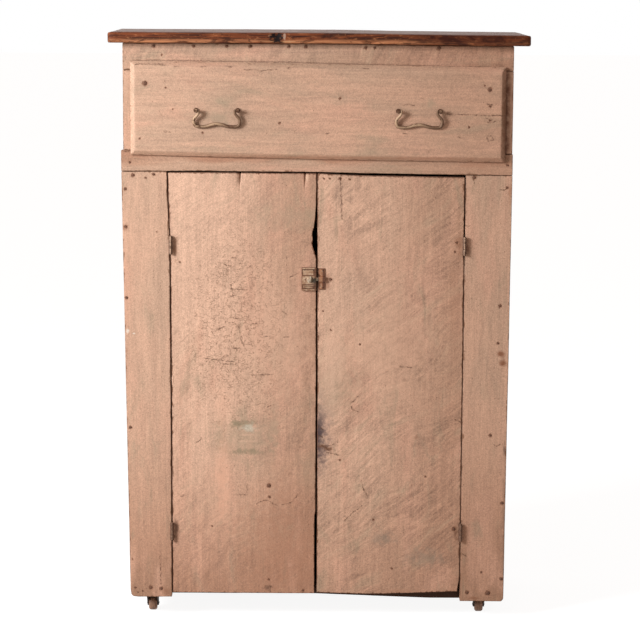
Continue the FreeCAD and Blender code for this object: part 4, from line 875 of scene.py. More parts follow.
LIP_LOW = Vector((-0.400, -0.1813, 1.0155))
LIP_HIGH = Vector((0.400, -0.1683, 1.2155))
LIP_BEVEL = 0.0095
LIP_TILT = 0.0125
TONGUE_LOW = Vector((-0.368, -0.1684, 1.0293))
TONGUE_HIGH = Vector((0.368, -0.1573, 1.1990))
DRAWER_NAILS = [
    (-0.367, 1.173, 0.0044), (-0.323, 1.164, 0.0014), (-0.308, 1.118, 0.0008), (-0.379, 1.056, 0.0016),
    (-0.081, 1.091, 0.0018), (-0.245, 1.069, 0.0014), (0.365, 1.163, 0.0036), (0.354, 1.172, 0.0012),
    (0.322, 1.083, 0.0018), (0.047, 1.143, 0.0018), (0.366, 1.128, 0.0020), (0.366, 1.098, 0.0012)]
DRAWER_CRACKS = [
    [(-0.157, 1.203), (-0.136, 1.203), (-0.119, 1.201), (-0.087, 1.204)],
    [(-0.333, 1.211), (-0.325, 1.211)], [(-0.304, 1.209), (-0.295, 1.209)],
    [(-0.249, 1.209), (-0.238, 1.209)], [(-0.193, 1.209), (-0.183, 1.208)],
    [(-0.386, 1.2135), (-0.367, 1.214), (-0.323, 1.213)], [(0.095, 1.207), (0.106, 1.206)],
    [(-0.064, 1.207), (-0.054, 1.208)], [(0.270, 1.111), (0.323, 1.110), (0.398, 1.108)],
    [(0.183, 1.129), (0.193, 1.133), (0.204, 1.129)], [(-0.328, 1.071), (-0.313, 1.070)],
    [(0.015, 1.068), (0.024, 1.069)], [(0.359, 1.132), (0.370, 1.132), (0.366, 1.123)],
    [(0.357, 1.102), (0.372, 1.102), (0.362, 1.093), (0.377, 1.096)],
    [(0.360, 1.064), (0.371, 1.066), (0.373, 1.057), (0.362, 1.055), (0.360, 1.064)],
    [(0.217, 1.145), (0.223, 1.144)], [(0.181, 1.070), (0.190, 1.068)], [(0.296, 1.063), (0.305, 1.061)]]


def bevelled(points):
    """Planes the front's four edges to a slope."""
    x, y, z = points.T
    gap = np.minimum(np.minimum(x - LIP_LOW.x, LIP_HIGH.x - x), np.minimum(z - LIP_LOW.z, LIP_HIGH.z - z))
    slope = LIP_LOW.y + np.clip(LIP_BEVEL - gap, 0, LIP_BEVEL)
    soft = 0.0008 * np.exp(-((gap - LIP_BEVEL) / 0.0015) ** 2)
    moved = points.copy()
    moved[:, 1] = np.maximum(y, slope + soft)
    return moved


def hung_low(points):
    """The front hangs low to the right, and its lower edge bows down, least at the left end."""
    x, z = points[:, 0], points[:, 2]
    low_left = np.clip(-x / 0.40, 0, 1) ** 1.6 * np.clip((1.10 - z) / 0.085, 0, 1)
    low_edge = np.clip((1.06 - z) / 0.045, 0, 1)
    moved = points.copy()
    moved[:, 2] += -LIP_TILT * x + 0.0030 * low_left - 0.0025 * low_edge
    return moved


bevel_lines = [LIP_BEVEL + d for d in (-0.0022, -0.0008, 0, 0.0008, 0.0022)]
lip_lines = ([LIP_LOW.x + d for d in bevel_lines] + [LIP_HIGH.x - d for d in bevel_lines], (),
             [LIP_LOW.z + d for d in bevel_lines] + [LIP_HIGH.z - d for d in bevel_lines])
lip_points, lip_faces, lip_edge = board_skin(LIP_LOW, LIP_HIGH, 0.0018, 0.011, lip_lines, 31)
lip_points = hung_low(bevelled(lip_points))
tongue_points, tongue_faces, tongue_edge = board_skin(TONGUE_LOW, TONGUE_HIGH, 0.0015, 0.03, NO_LINES, 33)
# painted shade: a dark band down the right-hand bevel and along the lower bevel, and the front lighter to the
# left and darker to the right
front_paint = old_paint(
    "paint_drawer_front", "x", DRAWER_NAILS, DRAWER_CRACKS, wear=0.8, bare=("Y", -0.1705, -0.1685), seed=41,
    stains_and_shadows=[(0.399, 1.110, 0.0080, 0.16, (0.240, 0.105, 0.055), 0.85),
            (0.0, 1.0165, 0.60, 0.0035, SMOKED_AND_SHADED, 0.6), (-0.200, 1.135, 0.016, 0.010, GREY_GREEN, 0.5),
            (0.240, 1.133, 0.022, 0.012, GREY_GREEN, 0.5), (-0.214, 1.100, 0.045, 0.016, GREY_GREEN, 0.45)],
    shades=[("X", -0.05, -0.40, FADED_AND_LIT, 0.25), ("X", 0.05, 0.38, SMOKED_AND_SHADED, 0.36)])
drawer_face = new_piece("drawer_face", np.concatenate([lip_points, tongue_points]),
                        np.concatenate([lip_faces, tongue_faces + len(lip_points)]), front_paint,
                        np.concatenate([lip_edge, tongue_edge]))
stands_for(drawer_face, "drawer_front", "drawer")
nail_heads("drawer_face_nails", DRAWER_NAILS, LIP_LOW.y + 0.0004, "drawer", seed=5)


# ---- bail pulls ----
# Brass swan-neck bails that swing in barrel-headed posts, put through the front and held by
# nuts inside. They hang back against the drawer; the brass is dull, brown where it is sheltered,
# and painted shade browns each pull towards its right arm.

BRASS = (0.455, 0.290, 0.180)
BRASS_BROWN = (0.090, 0.035, 0.015)
PULL_X = 0.215
PIN_Y = -0.1913
PIN_Z = 1.117
PIN_RADIUS = 0.0015
BAIL_LEAN = 0.0068
BAIL_DROP = 0.0345
BAIL_FLAT = 0.65
ARM_X = 0.03825
HALF_BAIL = [
    (ARM_X, 0.0022, 0.0024), (ARM_X, -0.0040, 0.0029), (ARM_X + 0.0012, -0.0085, 0.0030),
    (0.0478, -0.0170, 0.0032), (0.0495, -0.0230, 0.0034), (0.0470, -0.0320, 0.0035),
    (0.0410, -0.0348, 0.0034), (0.0230, -0.0346, 0.0032), (0.0110, -0.0300, 0.0035),
    (0.0, -0.0285, 0.0037)]


def old_brass(name, rubbed_low, rubbed_high, rubbed_from, seed=0):
    """Dull brass, rubbed bright on its outer side, with painted shade browning each pull towards its right
    arm.
    """
    made, where = new_finish(name)
    place = axes(where)
    patch = cloud(laid(where, EVEN, seed), 120, 4, 0.6, 0.5)
    fine = cloud(where, 900, 3, 0.6)
    outer = step(place["Y"], rubbed_from, rubbed_from + 0.0035, 1.0, 0.1)
    # painted shade: each pull is browner towards its right arm, the side away from the light
    middle = times(new_node("Math", {0: place["X"]}, operation="SIGN"), PULL_X)
    along = plus(less(place["X"], middle), step(patch, 0.3, 0.7, -0.008, 0.008))
    rubbed = times(step(patch, rubbed_low, rubbed_high), outer, step(along, -0.004, 0.030, 1.0, 0.30))
    colour = scaled(over(rubbed, BRASS_BROWN, BRASS), step(fine, 0.2, 0.8, 0.75, 1.15))
    rough = step(plus(patch, fine), 0.7, 1.3, 0.42, 0.62)
    coat(made, colour, rough, plus(patch, times(fine, 0.4)), 0.0004, metal=0.15, gloss=0.35)
    return made


def swept(line, around, back=1.0):
    """A round bar along a line of (place, radius), with its back flattened and both ends closed."""
    ways = np.gradient(np.array([place for place, radius in line]), axis=0)
    ways /= np.linalg.norm(ways, axis=1, keepdims=True)
    points, faces = [], []
    for (place, radius), way in zip(line, ways):
        across = np.cross((0, 1, 0), way)
        across /= np.linalg.norm(across)
        behind = np.cross(way, across)
        for i in range(around):
            a = math.tau * i / around
            off = radius * (math.cos(a) * across + math.sin(a) * behind)
            off[1] = min(off[1], back * radius)
            points.append(np.array(place) + off)
    for ring in range(len(line) - 1):
        low = ring * around
        for i in range(around):
            j = (i + 1) % around
            faces.append((low + i, low + j, low + around + j, low + around + i))
    last = (len(line) - 1) * around
    faces.append(tuple(range(around - 1, -1, -1)))
    faces.append(tuple(range(last, last + around)))
    return points, faces


def eased(knots):
    """Cuts a line's corners three times, which leaves it round."""
    for _ in range(3):
        near = 0.75 * knots[:-1] + 0.25 * knots[1:]
        far = 0.25 * knots[:-1] + 0.75 * knots[1:]
        knots = np.concatenate([knots[:1], np.stack([near, far], 1).reshape(-1, 3), knots[-1:]])
    return knots


bail_brass = old_brass("brass_bails", 0.32, 0.50, -0.1890, 2)
post_brass = old_brass("brass_posts", 0.50, 0.64, -0.1945, 5)
bail_knots = eased(np.array(HALF_BAIL + [(-x, z, r) for x, z, r in reversed(HALF_BAIL[:-1])]))
for side, hand in HANDS.items():
    line = []
    for x, z, radius in bail_knots:
        place = (hand * PULL_X + x, PIN_Y + BAIL_LEAN * max(0.0, -z) / BAIL_DROP, PIN_Z + z)
        uneven = 1 + 0.05 * noise.noise(Vector(place) * 90)
        line.append((place, radius * (uneven if z < -0.006 else 1)))
    points, faces = swept(line, 12, BAIL_FLAT)
    for way in (-1, 1):
        pin = [((hand * PULL_X + way * x, PIN_Y, PIN_Z), PIN_RADIUS) for x in (ARM_X, 0.0425, 0.0470)]
        pin_points, pin_faces = swept(pin, 10)
        faces += [tuple(len(points) + i for i in face) for face in pin_faces]
        points += pin_points
    stands_for(new_piece(f"swan_neck_{side}", points, faces, bail_brass), f"bail_{side}", f"bail_{side}")
dress(post_brass, 0, "pull_posts", "pull_nuts")


# ---- doors ----
# One wide board each, cut to the opening and kept flat by two battens clenched on behind.
# The left one has split at its head, and its meeting edge is broken away above the latch.

DOOR_EDGE = 0.3145
DOOR_FOOT = 0.057
DOOR_TOP = 0.981
DOOR_CUP = 0.0024
DOOR_FOOT_LONG = {"left": 0.0022, "right": 0.0}
MEET_EASE = 0.0006
HINGE_EASE = 0.0007
LEFT_TOE_WORN = 0.0021
RIGHT_FOOT_WORN = 0.0078
RIGHT_HEAD_DROP = 0.0022
SPLIT_DEEP = 0.006
LEFT_SPLITS_X = (-0.166, -0.027)
NOTCH_AT = (0.800, 0.819, 0.829, 0.839, 0.853, 0.866, 0.880, 0.902, 0.930)
NOTCH_BY = (0.0, 0.0066, 0.0096, 0.0078, 0.0094, 0.0056, 0.0028, 0.0012, 0.0)
MEET_AT = (0.30, 0.60, 0.755, 0.90, 0.98)
MEET_BY = {"left": (0.0, 0.0002, 0.0008, 0.0010, 0.0012), "right": (0.0, 0.0004, 0.0012, 0.0018, 0.0023)}
SWOLLEN_AT = (0.062, 0.072, 0.090, 0.174, 0.180, 0.214, 0.220, 0.600, 0.780, 0.805)
SWOLLEN_BY = (-0.0040, -0.0022, 0.0008, 0.0012, 0.0, 0.0, 0.0012, 0.0012, 0.0006, 0.0)
OLIVE = (0.250, 0.195, 0.120)
MUDDY = (0.250, 0.190, 0.140)
DOOR_MARKS = {
    "left": {
        "strokes": (0.70, 0.55),
        "crackle": (-0.175, 0.640, 0.070, 0.150),
        "spots": [(-0.296, 0.790, 0.0016), (-0.228, 0.208, 0.0014), (-0.103, 0.299, 0.0036),
                  (-0.102, 0.274, 0.0022), (-0.103, 0.088, 0.0016), (-0.028, 0.063, 0.0022)],
        "splits": [
            [(-0.261, 0.395), (-0.254, 0.399), (-0.250, 0.404)], [(-0.296, 0.274), (-0.290, 0.276)],
            [(-0.178, 0.279), (-0.151, 0.278)], [(-0.151, 0.302), (-0.151, 0.284)],
            [(-0.130, 0.259), (-0.115, 0.266), (-0.106, 0.267), (-0.099, 0.262), (-0.084, 0.254)],
            [(-0.075, 0.257), (-0.060, 0.259), (-0.051, 0.264), (-0.040, 0.280)],
            [(-0.108, 0.473), (-0.099, 0.478)], [(-0.110, 0.073), (-0.099, 0.073), (-0.100, 0.061)],
            [(-0.075, 0.684), (-0.066, 0.677)], [(-0.245, 0.581), (-0.210, 0.577), (-0.180, 0.573)],
            [(-0.202, 0.568), (-0.176, 0.568)], [(-0.163, 0.569), (-0.150, 0.567)],
            [(-0.141, 0.544), (-0.095, 0.546)], [(-0.182, 0.603), (-0.167, 0.603)],
            [(-0.191, 0.658), (-0.182, 0.660), (-0.169, 0.651), (-0.163, 0.619), (-0.158, 0.608)],
            [(-0.188, 0.671), (-0.169, 0.668)], [(-0.219, 0.640), (-0.201, 0.651)],
            [(-0.191, 0.715), (-0.175, 0.719)], [(-0.186, 0.743), (-0.180, 0.715)],
            [(-0.184, 0.732), (-0.152, 0.731)], [(-0.201, 0.787), (-0.186, 0.782)],
            [(-0.184, 0.800), (-0.175, 0.802)], [(-0.139, 0.656), (-0.124, 0.658)],
            [(-0.117, 0.628), (-0.106, 0.630)], [(-0.072, 0.628), (-0.061, 0.628)],
            [(-0.059, 0.759), (-0.039, 0.768)], [(-0.166, 0.981), (-0.1655, 0.964)],
            [(-0.027, 0.981), (-0.0275, 0.967)]],
        "stains_and_shadows": [
            (-0.160, 0.406, 0.060, 0.055, GREY_GREEN, 0.55), (-0.163, 0.437, 0.034, 0.009, OLIVE, 0.85),
            (-0.148, 0.375, 0.046, 0.008, OLIVE, 0.65), (-0.212, 0.410, 0.012, 0.045, GREY_GREEN, 0.6),
            (-0.148, 0.428, 0.018, 0.010, (0.58, 0.50, 0.39), 0.85),
            (-0.150, 0.412, 0.020, 0.0025, FADED_AND_LIT, 0.6), (-0.093, 0.430, 0.014, 0.060, GREY_GREEN, 0.45),
            (-0.150, 0.398, 0.022, 0.0025, FADED_AND_LIT, 0.5),
            (-0.205, 0.300, 0.017, 0.120, (0.740, 0.400, 0.270), 0.60),
            (-0.020, 0.330, 0.030, 0.050, GREY_GREEN, 0.35),
            (-0.205, 0.480, 0.020, 0.060, (0.740, 0.420, 0.290), 0.45),
            (-0.060, 0.160, 0.110, 0.150, (0.400, 0.190, 0.115), 0.45),
            (-0.100, 0.620, 0.090, 0.140, (0.680, 0.410, 0.285), 0.55),
            (-0.060, 0.890, 0.080, 0.040, GREY_GREEN, 0.40), (-0.105, 0.070, 0.009, 0.007, GRIME, 0.6),
            (-0.022, 0.974, 0.004, 0.010, (0.66, 0.45, 0.31), 0.5),
            # painted shadows of the upper and lower hinge knuckles, to their right
            (-0.306, 0.822, 0.006, 0.026, RUST, 0.75),
            (-0.306, 0.200, 0.007, 0.026, (0.140, 0.065, 0.038), 0.85)],
        # painted light and shade: lighter to the left, darker to the right and towards the foot
        "shades": [("X", -0.02, -0.24, FADED_AND_LIT, 0.90), ("X", -0.15, 0.01, SMOKED_AND_SHADED, 0.50),
                   ("Z", 0.44, 0.05, SMOKED_AND_SHADED, 0.90)],
    },
    "right": {
        "strokes": (0.66, 1.0),
        "spots": [
            (0.013, 0.971, 0.0014), (0.026, 0.972, 0.0012), (0.048, 0.972, 0.0026),
            (0.069, 0.970, 0.0014), (0.029, 0.754, 0.0024), (0.013, 0.685, 0.0012),
            (0.030, 0.644, 0.0012), (0.093, 0.613, 0.0014), (0.300, 0.835, 0.0018),
            (0.296, 0.815, 0.0018), (0.125, 0.224, 0.0016), (0.302, 0.203, 0.0032),
            (0.238, 0.321, 0.0012), (0.167, 0.114, 0.0014), (0.051, 0.357, 0.0014)],
        "splits": [
            [(0.048, 0.973), (0.050, 0.948), (0.053, 0.885)], [(0.180, 0.564), (0.207, 0.562)],
            [(0.075, 0.484), (0.081, 0.488), (0.092, 0.501)],
            [(0.075, 0.476), (0.079, 0.468), (0.092, 0.465)],
            [(0.003, 0.394), (0.019, 0.385), (0.032, 0.374)], [(0.019, 0.385), (0.038, 0.392)],
            [(0.021, 0.374), (0.051, 0.367)], [(-0.001, 0.436), (0.014, 0.424)],
            [(0.001, 0.412), (0.018, 0.405)], [(0.098, 0.312), (0.104, 0.289)],
            [(0.102, 0.296), (0.111, 0.278)], [(0.063, 0.222), (0.079, 0.238), (0.100, 0.254)],
            [(0.301, 0.447), (0.315, 0.442)]],
        "stains_and_shadows": [
            (0.004, 0.425, 0.028, 0.095, (0.300, 0.200, 0.165), 0.75),
            (0.002, 0.408, 0.022, 0.065, (0.075, 0.045, 0.045), 1.0),
            (0.045, 0.520, 0.060, 0.070, GREY_GREEN, 0.45), (0.217, 0.408, 0.006, 0.005, RUST, 0.5),
            (0.147, 0.182, 0.030, 0.016, MUDDY, 0.55), (0.240, 0.140, 0.050, 0.022, MUDDY, 0.55),
            (0.160, 0.600, 0.120, 0.130, (0.660, 0.395, 0.270), 0.50),
            (0.030, 0.560, 0.030, 0.100, FADED_AND_LIT, 0.40),
            # painted shade beside the upper hinge knuckle
            (0.306, 0.828, 0.010, 0.026, (0.300, 0.140, 0.080), 0.75),
            (0.200, 0.062, 0.090, 0.006, SMOKED_AND_SHADED, 0.6),
            # painted shade beside the lower hinge knuckle
            (0.306, 0.196, 0.006, 0.026, (0.200, 0.090, 0.050), 0.80),
            (0.300, 0.700, 0.018, 0.160, SMOKED_AND_SHADED, 0.35),
            # painted shadow of the keeper, cast to its right
            (0.0215, 0.750, 0.0065, 0.022, (0.300, 0.130, 0.075), 0.65),
            (0.012, 0.3885, 0.011, 0.0060, (0.150, 0.062, 0.030), 1.0),
            (0.026, 0.3815, 0.011, 0.0045, (0.170, 0.075, 0.038), 0.9)],
        # painted light and shade: lighter to the left, darker to the right and towards the foot
        "shades": [("X", 0.26, 0.0, FADED_AND_LIT, 0.55), ("X", 0.12, 0.315, SMOKED_AND_SHADED, 0.50),
                   ("Z", 0.40, 0.05, SMOKED_AND_SHADED, 0.50)],
    },
}


def cup(x):
    """How far a door board's face has crowned at a place across its width."""
    return DOOR_CUP * max(0.0, 1 - ((abs(x) - 0.158) / 0.157) ** 2)


def split_and_broken(moved, points):
    """The left door's two splits at its head and the piece gone from its meeting edge."""
    x, y, z = points.T
    for crack_x in LEFT_SPLITS_X:
        deep = np.clip((z - 0.955) / 0.020, 0, 1)
        near = np.exp(-((x - crack_x) / 0.0012) ** 2)
        moved[:, 1] += np.where(y < FACE + SPLIT_DEEP, SPLIT_DEEP * deep * near, 0)
        moved[:, 2] -= np.where(z > 0.978, 0.004 * near, 0)
    broken = np.interp(z, NOTCH_AT, NOTCH_BY) * (1 + 0.25 * wander(points, 160, 8.8))
    moved[:, 0] -= broken * np.clip((x + 0.030) / 0.028, 0, 1)


def door_bend(side):
    """A door board is let in for its hinges, crowned, worn at its foot and leaning where it meets."""
    hand = HANDS[side]

    def bend(points):
        points = let_in(points, hand * DOOR_EDGE, -hand * LEAF_THICK)
        moved = racked(points, (DOOR_FOOT, DOOR_TOP))
        x, y, z = points.T
        foot = np.clip(1 - (z - DOOR_FOOT) / 0.05, 0, 1)
        moved[:, 2] -= foot * DOOR_FOOT_LONG[side]
        meeting = np.clip((0.0070 - np.abs(x)) / 0.005, 0, 1)
        moved[:, 0] -= meeting * (hand * MEET_EASE + np.interp(z, MEET_AT, MEET_BY[side]))
        moved[:, 0] += hand * HINGE_EASE * np.clip((np.abs(x) - (DOOR_EDGE - 0.005)) / 0.005, 0, 1)
        moved[:, 1] -= np.array([cup(v) for v in x]) * np.clip((-0.148 - y) / 0.020, 0, 1)
        if side == "left":
            moved[:, 0] -= leaned(z) * np.clip((-0.2545 - x) / 0.060, 0, 1)
            toe = np.clip((0.240 - z) / 0.006, 0, 1) * np.clip((x + 0.012) / 0.010, 0, 1)
            moved[:, 0] -= LEFT_TOE_WORN * toe
            split_and_broken(moved, points)
        else:
            moved[:, 2] += foot * RIGHT_FOOT_WORN * np.clip((x - 0.130) / 0.165, 0, 1)
            high = np.clip((z - 0.90) / 0.081, 0, 1)
            moved[:, 2] -= RIGHT_HEAD_DROP * high * np.clip(x / 0.10, 0, 1)
            moved[:, 0] += np.clip((x - 0.309) / 0.005, 0, 1) * np.interp(z, SWOLLEN_AT, SWOLLEN_BY)
        return moved
    return bend


notch_lines = [0.798 + i * 0.004 for i in range(34)] + [0.233, 0.241]
split_lines = [x + d for x in LEFT_SPLITS_X for d in (-0.002, -0.001, 0, 0.001, 0.002)]
DOOR_LINES = {"left": (split_lines + [-0.010, -0.006, -0.004], LEAF_LINES, SEAT_LINES + notch_lines),
              "right": ((), LEAF_LINES, SEAT_LINES)}
for side, hand in HANDS.items():
    paint = old_paint(f"paint_door_{side}", joint=0.85, bare=("Y", -0.1515, -0.1490), seed=50 + hand,
                      **DOOR_MARKS[side])
    worn_board(f"door_{side}_board", f"door_board_{side}", f"door_{side}", paint,
               0.0026, 0.012, DOOR_LINES[side], door_bend(side), 14 + hand)
    nail_heads(f"door_{side}_nails", DOOR_MARKS[side]["spots"], FACE, f"door_{side}", 7 + hand, cup)


# ---- hinges ----
# Small iron butt hinges let into the edges, with only their knuckles proud of the face.
# They were painted over with the doors, and the paint has since cracked off their ribs.

HINGE_X = 0.31575


def unsigned(value):
    """A number without its sign."""
    return new_node("Math", {0: value}, operation="ABSOLUTE")


hinge_paint, where = new_finish("paint_over_iron")
place = axes(where)
flake = cloud(where, 320, 4, 0.65, 0.4)
fine = cloud(where, 1100, 3, 0.6)
off_pin = unsigned(less(unsigned(place["X"]), HINGE_X))
colour = over(step(flake, 0.46, 0.62, 0.0, 0.85), (0.52, 0.33, 0.22), (0.10, 0.042, 0.022))
# painted shade: each knuckle is darker towards its sides, which turn away from the light
colour = over(step(off_pin, 0.0007, 0.0019, 0.0, 0.90), colour, (0.090, 0.036, 0.018))
colour = over(step(place["Z"], 0.60, 0.40, 0.0, 0.75), colour, (0.120, 0.052, 0.028))
colour = scaled(colour, step(fine, 0.2, 0.8, 0.8, 1.15))
coat(hinge_paint, colour, step(flake, 0.4, 0.6, 0.55, 0.8), plus(flake, fine), 0.0004, metal=0.15)
dress(hinge_paint, 0.0004, "hinge_leaves_case", "hinge_pins", "hinge_leaves_left", "hinge_leaves_right")


# ---- cupboard turn ----
# A stamped iron case nailed to the left door, with a round knob that draws a flat bolt out of
# the keeper on the right door. Copper-brown, with paint left in its corners.

OLD_COPPER = (0.480, 0.300, 0.190)
COPPER_BROWN = (0.300, 0.150, 0.080)
COPPER_PAINT = (0.62, 0.44, 0.30)
RIM_BROWN = (0.120, 0.042, 0.016)
KNOB_SHADOW_OLIVE = (0.045, 0.030, 0.010)
CASE_FRAMES = [(-0.0195, 0.7695, 0.0125, 0.0062), (-0.0195, 0.7390, 0.0125, 0.0048),
               (-0.0190, 0.7550, 0.0150, 0.0255)]
CASE_PATCHES = [
    # painted shadow of the knob on the case, to its right
    (-0.0075, 0.7530, 0.0075, 0.0065, KNOB_SHADOW_OLIVE, 0.92),
    (-0.0245, 0.7555, 0.0022, 0.0030, RIM_BROWN, 0.8), (-0.0070, 0.7715, 0.0026, 0.0050, RIM_BROWN, 0.85),
    (-0.0075, 0.7380, 0.0060, 0.0030, RIM_BROWN, 0.6)]
# painted shade on the knob's right-hand side
KNOB_PATCHES = [(-0.0105, 0.7530, 0.0050, 0.0080, (0.060, 0.036, 0.012), 0.9)]
KEEPER_FRAMES = [(0.0085, 0.7550, 0.0055, 0.0220)]
# painted shade on the keeper's right-hand side
KEEPER_PATCHES = [(0.0145, 0.7520, 0.0035, 0.0220, (0.095, 0.026, 0.008), 0.9)]


def worn_plate(name, base, frames, shaded_from, shine, patches=(), seed=0):
    """Copper-brown iron under thin paint, rusty along the stamped frames, with painted shade towards its
    right-hand edge.
    """
    made, where = new_finish(name)
    patch = cloud(laid(where, EVEN, seed), 90, 4, 0.6, 0.5)
    fine = cloud(where, 700, 3, 0.6)
    colour = over(step(patch, 0.44, 0.62, 0, 0.8), base, COPPER_BROWN)
    colour = over(step(cloud(where, 160, 3, 0.6), 0.54, 0.66, 0, 0.8), colour, COPPER_PAINT)
    place = axes(vectors("ADD", where, scaled(fine, 0.0008)))
    for x, z, half_wide, half_tall in frames:
        beside = less(unsigned(less(place["X"], x + 0.0004)), half_wide)
        above = less(unsigned(less(place["Z"], z + 0.0004)), half_tall)
        ring = step(unsigned(most(beside, above)), 0.0005, 0.0022, 0.90, 0.0)
        colour = over(ring, colour, RIM_BROWN)
    # painted shade: the plate darkens towards its right-hand edge, the side away from the light
    colour = over(step(place["X"], shaded_from, shaded_from + 0.003, 0, 0.85), colour, RIM_BROWN)
    for x, z, wide, tall, tint, amount in patches:
        near = plus(in_oval(where, x, z, wide, tall), step(fine, 0.2, 0.8, -0.3, 0.3))
        colour = over(step(near, 0.4, 1.2, amount, 0.0), colour, tint)
    colour = scaled(colour, step(fine, 0.2, 0.8, 0.80, 1.15))
    coat(made, colour, step(patch, 0.3, 0.7, 0.34, 0.60), plus(patch, fine), 0.0004, metal=shine)
    return made


dress(worn_plate("old_copper_case", OLD_COPPER, CASE_FRAMES, -0.0075, 0.20, CASE_PATCHES, 3), 0.0006,
      "latch_case")
dress(worn_plate("rubbed_bolt", (0.330, 0.260, 0.180), (), 0.0040, 0.50, seed=8), 0.0004, "latch_bolt")
dress(worn_plate("rubbed_knob", (0.600, 0.540, 0.420), (), -0.0145, 0.30, KNOB_PATCHES, 5), 0.0004,
      "latch_knob")
dress(worn_plate("keeper_copper", (0.430, 0.170, 0.080), KEEPER_FRAMES, 0.0100, 0.20, KEEPER_PATCHES, 7),
      0.0006, "latch_keeper")


def screw_head(name, x, y, z, radius, turn, body):
    """A small round-topped wood screw with a cut slot."""
    around = 20
    slot_deep = 0.0007
    rings = ((0.30, 0.00085), (0.62, 0.00070), (0.86, 0.00040), (1.0, 0.0), (1.0, -0.0008))
    points = [(x, y - 0.0009, z)]
    for share, rise in rings:
        for i in range(around):
            a = math.tau * i / around
            off_x, off_z = radius * share * math.cos(a), radius * share * math.sin(a)
            across = abs(-off_x * math.sin(turn) + off_z * math.cos(turn))
            cut = slot_deep if across < 0.16 * radius + 1e-5 and rise > 0 else 0
            points.append((x + off_x, y - rise + cut, z + off_z))
    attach(new_piece(name, points, head_faces(0, around, len(rings)), rust_iron), body)


CASE_FACE = -0.1703
CASE_SCREWS = ((-0.0270, 0.7752, 0.6), (-0.0085, 0.7750, 2.1), (-0.0270, 0.7345, 1.4), (-0.0085, 0.7348, 0.2))
KEEPER_FACE = -0.1698
KEEPER_SCREWS = ((0.0120, 0.7735, 0.9), (0.0120, 0.7365, 2.4))
for index, (x, z, turn) in enumerate(CASE_SCREWS, 1):
    screw_head(f"latch_screw_{index}", x, CASE_FACE, z, 0.0022, turn, "door_left")
for index, (x, z, turn) in enumerate(KEEPER_SCREWS, 1):
    screw_head(f"keeper_screw_{index}", x, KEEPER_FACE, z, 0.0020, turn, "door_right")


# ---- casters ----
# Turned wooden wheels in trailing iron forks. Each fork's stem turns in an iron sleeve,
# driven up through the bottom board into a block. The iron is black and the wheels brown.

black_iron, where = new_finish("black_iron")
crust = cloud(where, 260, 5, 0.65)
fine = cloud(where, 1200, 3, 0.6)
colour = over(step(crust, 0.45, 0.68), (0.030, 0.024, 0.021), (0.115, 0.055, 0.030))
colour = scaled(colour, step(fine, 0.2, 0.8, 0.8, 1.2))
coat(black_iron, colour, step(crust, 0.3, 0.7, 0.42, 0.8), plus(crust, times(fine, 0.5)), 0.0006, metal=0.6)

turned_wood, where = new_finish("turned_wheel_wood")
grain = cloud(laid(where, (1, 0.2, 0.2), 4), 240, 4, 0.6, 0.8)
wear = cloud(where, 110, 5, 0.65)
colour = over(step(grain, 0.35, 0.65), (0.210, 0.105, 0.065), (0.420, 0.235, 0.150))
colour = over(step(wear, 0.58, 0.72, 0, 0.6), colour, (0.040, 0.026, 0.020))
coat(turned_wood, colour, step(wear, 0.3, 0.7, 0.42, 0.75), plus(grain, wear), 0.0005)

dress(black_iron, 0, "caster_sockets")
for corner in ("front_left", "front_right", "back_left", "back_right"):
    dress(black_iron, 0.0006, f"caster_fork_{corner}")
    dress(black_iron, 0.0003, f"caster_axle_{corner}")
    dress(turned_wood, 0.0008, f"caster_wheel_{corner}")


# ---- floor and light ----
# A plain white floor that keeps a faint shadow, one soft lamp high on the left and a pale
# room all round.

FLOOR_HALF = 40
FLOOR_MATT = (0.57, 0.52, 0.48)
FLOOR_FAINT = (0.25, 0.25, 0.25)
FLOOR_GLOW = 0.91
ROOM_FILL = 0.36
ROOM_WARM = (1.0, 0.860, 0.765)
LAMP_AT = (-2.55, -1.85, 1.90)
LAMP_AIM = (0, -0.17, 0.70)
LAMP_SIZE = (0.9, 1.1)
LAMP_POWER = 144
LAMP_COOL = (0.925, 0.975, 1.0)
CAMERA_AT = (0.0063, -4.868, 1.381)
CAMERA_LENS = 123.78
CAMERA_PITCH = math.radians(8.656)
CAMERA_ROLL = math.radians(0.276)


def seen_rays(tree):
    """1 where a ray sees a white thing plainly, in something glossy or through something clear."""
    path = new_node("LightPath", {}, None, tree)
    return most(path["Is Camera Ray"], path["Is Glossy Ray"], path["Is Transmission Ray"])


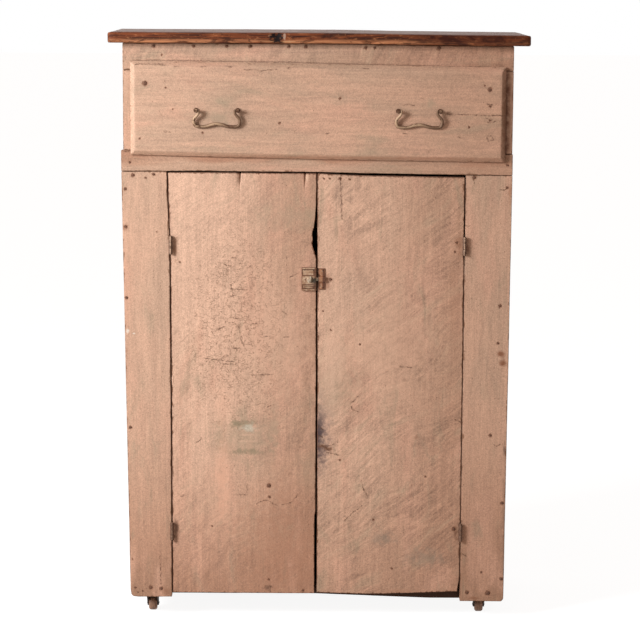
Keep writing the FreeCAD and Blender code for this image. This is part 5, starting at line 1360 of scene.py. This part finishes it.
floor_white = bpy.data.materials.new("floor_white")
floor_white.use_nodes = True
tree = floor_white.node_tree
tree.nodes.remove(tree.nodes["Principled BSDF"])
matt = new_node("BsdfDiffuse", {"Color": FLOOR_MATT}, tree=tree)
faint = new_node("BsdfDiffuse", {"Color": FLOOR_FAINT}, tree=tree)
glow = new_node("Emission", {"Strength": FLOOR_GLOW}, tree=tree)
shown = new_node("AddShader", {0: faint, 1: glow})
white = new_node("MixShader", {0: seen_rays(tree), 1: matt, 2: shown})
plug(white, tree.nodes["Material Output"].inputs["Surface"])
corners = [(x * FLOOR_HALF, y * FLOOR_HALF, 0) for x, y in ((-1, -1), (1, -1), (1, 1), (-1, 1))]
new_piece("floor", corners, [(0, 1, 2, 3)], floor_white, smooth=False)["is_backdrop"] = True

room = bpy.data.worlds.new("pale_room")
bpy.context.scene.world = room
room.use_nodes = True
seen = seen_rays(room.node_tree)
air = room.node_tree.nodes["Background"]
plug(plus(times(seen, 1 - ROOM_FILL), ROOM_FILL), air.inputs["Strength"])
plug(over(seen, ROOM_WARM, (1, 1, 1)), air.inputs["Color"])

lamp = bpy.data.lights.new("window_light", "AREA")
lamp.shape = "RECTANGLE"
lamp.size, lamp.size_y = LAMP_SIZE
lamp.energy = LAMP_POWER
lamp.color = LAMP_COOL
window = bpy.data.objects.new("window_light", lamp)
window.location = LAMP_AT
window.rotation_euler = (Vector(LAMP_AIM) - Vector(LAMP_AT)).to_track_quat("-Z", "Y").to_euler()
bpy.context.scene.collection.objects.link(window)

camera = bpy.data.cameras.new("camera")
camera.sensor_width = 36
camera.lens = CAMERA_LENS
camera.clip_end = 200
eye = bpy.data.objects.new("camera", camera)
eye.location = CAMERA_AT
eye.rotation_mode = "QUATERNION"
look = Vector((0, math.cos(CAMERA_PITCH), -math.sin(CAMERA_PITCH))).to_track_quat("-Z", "Y")
eye.rotation_quaternion = look @ Quaternion((math.cos(CAMERA_ROLL / 2), 0, 0, math.sin(CAMERA_ROLL / 2)))
bpy.context.scene.collection.objects.link(eye)
bpy.context.scene.camera = eye

bpy.context.scene.view_settings.view_transform = "Standard"

low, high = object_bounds()
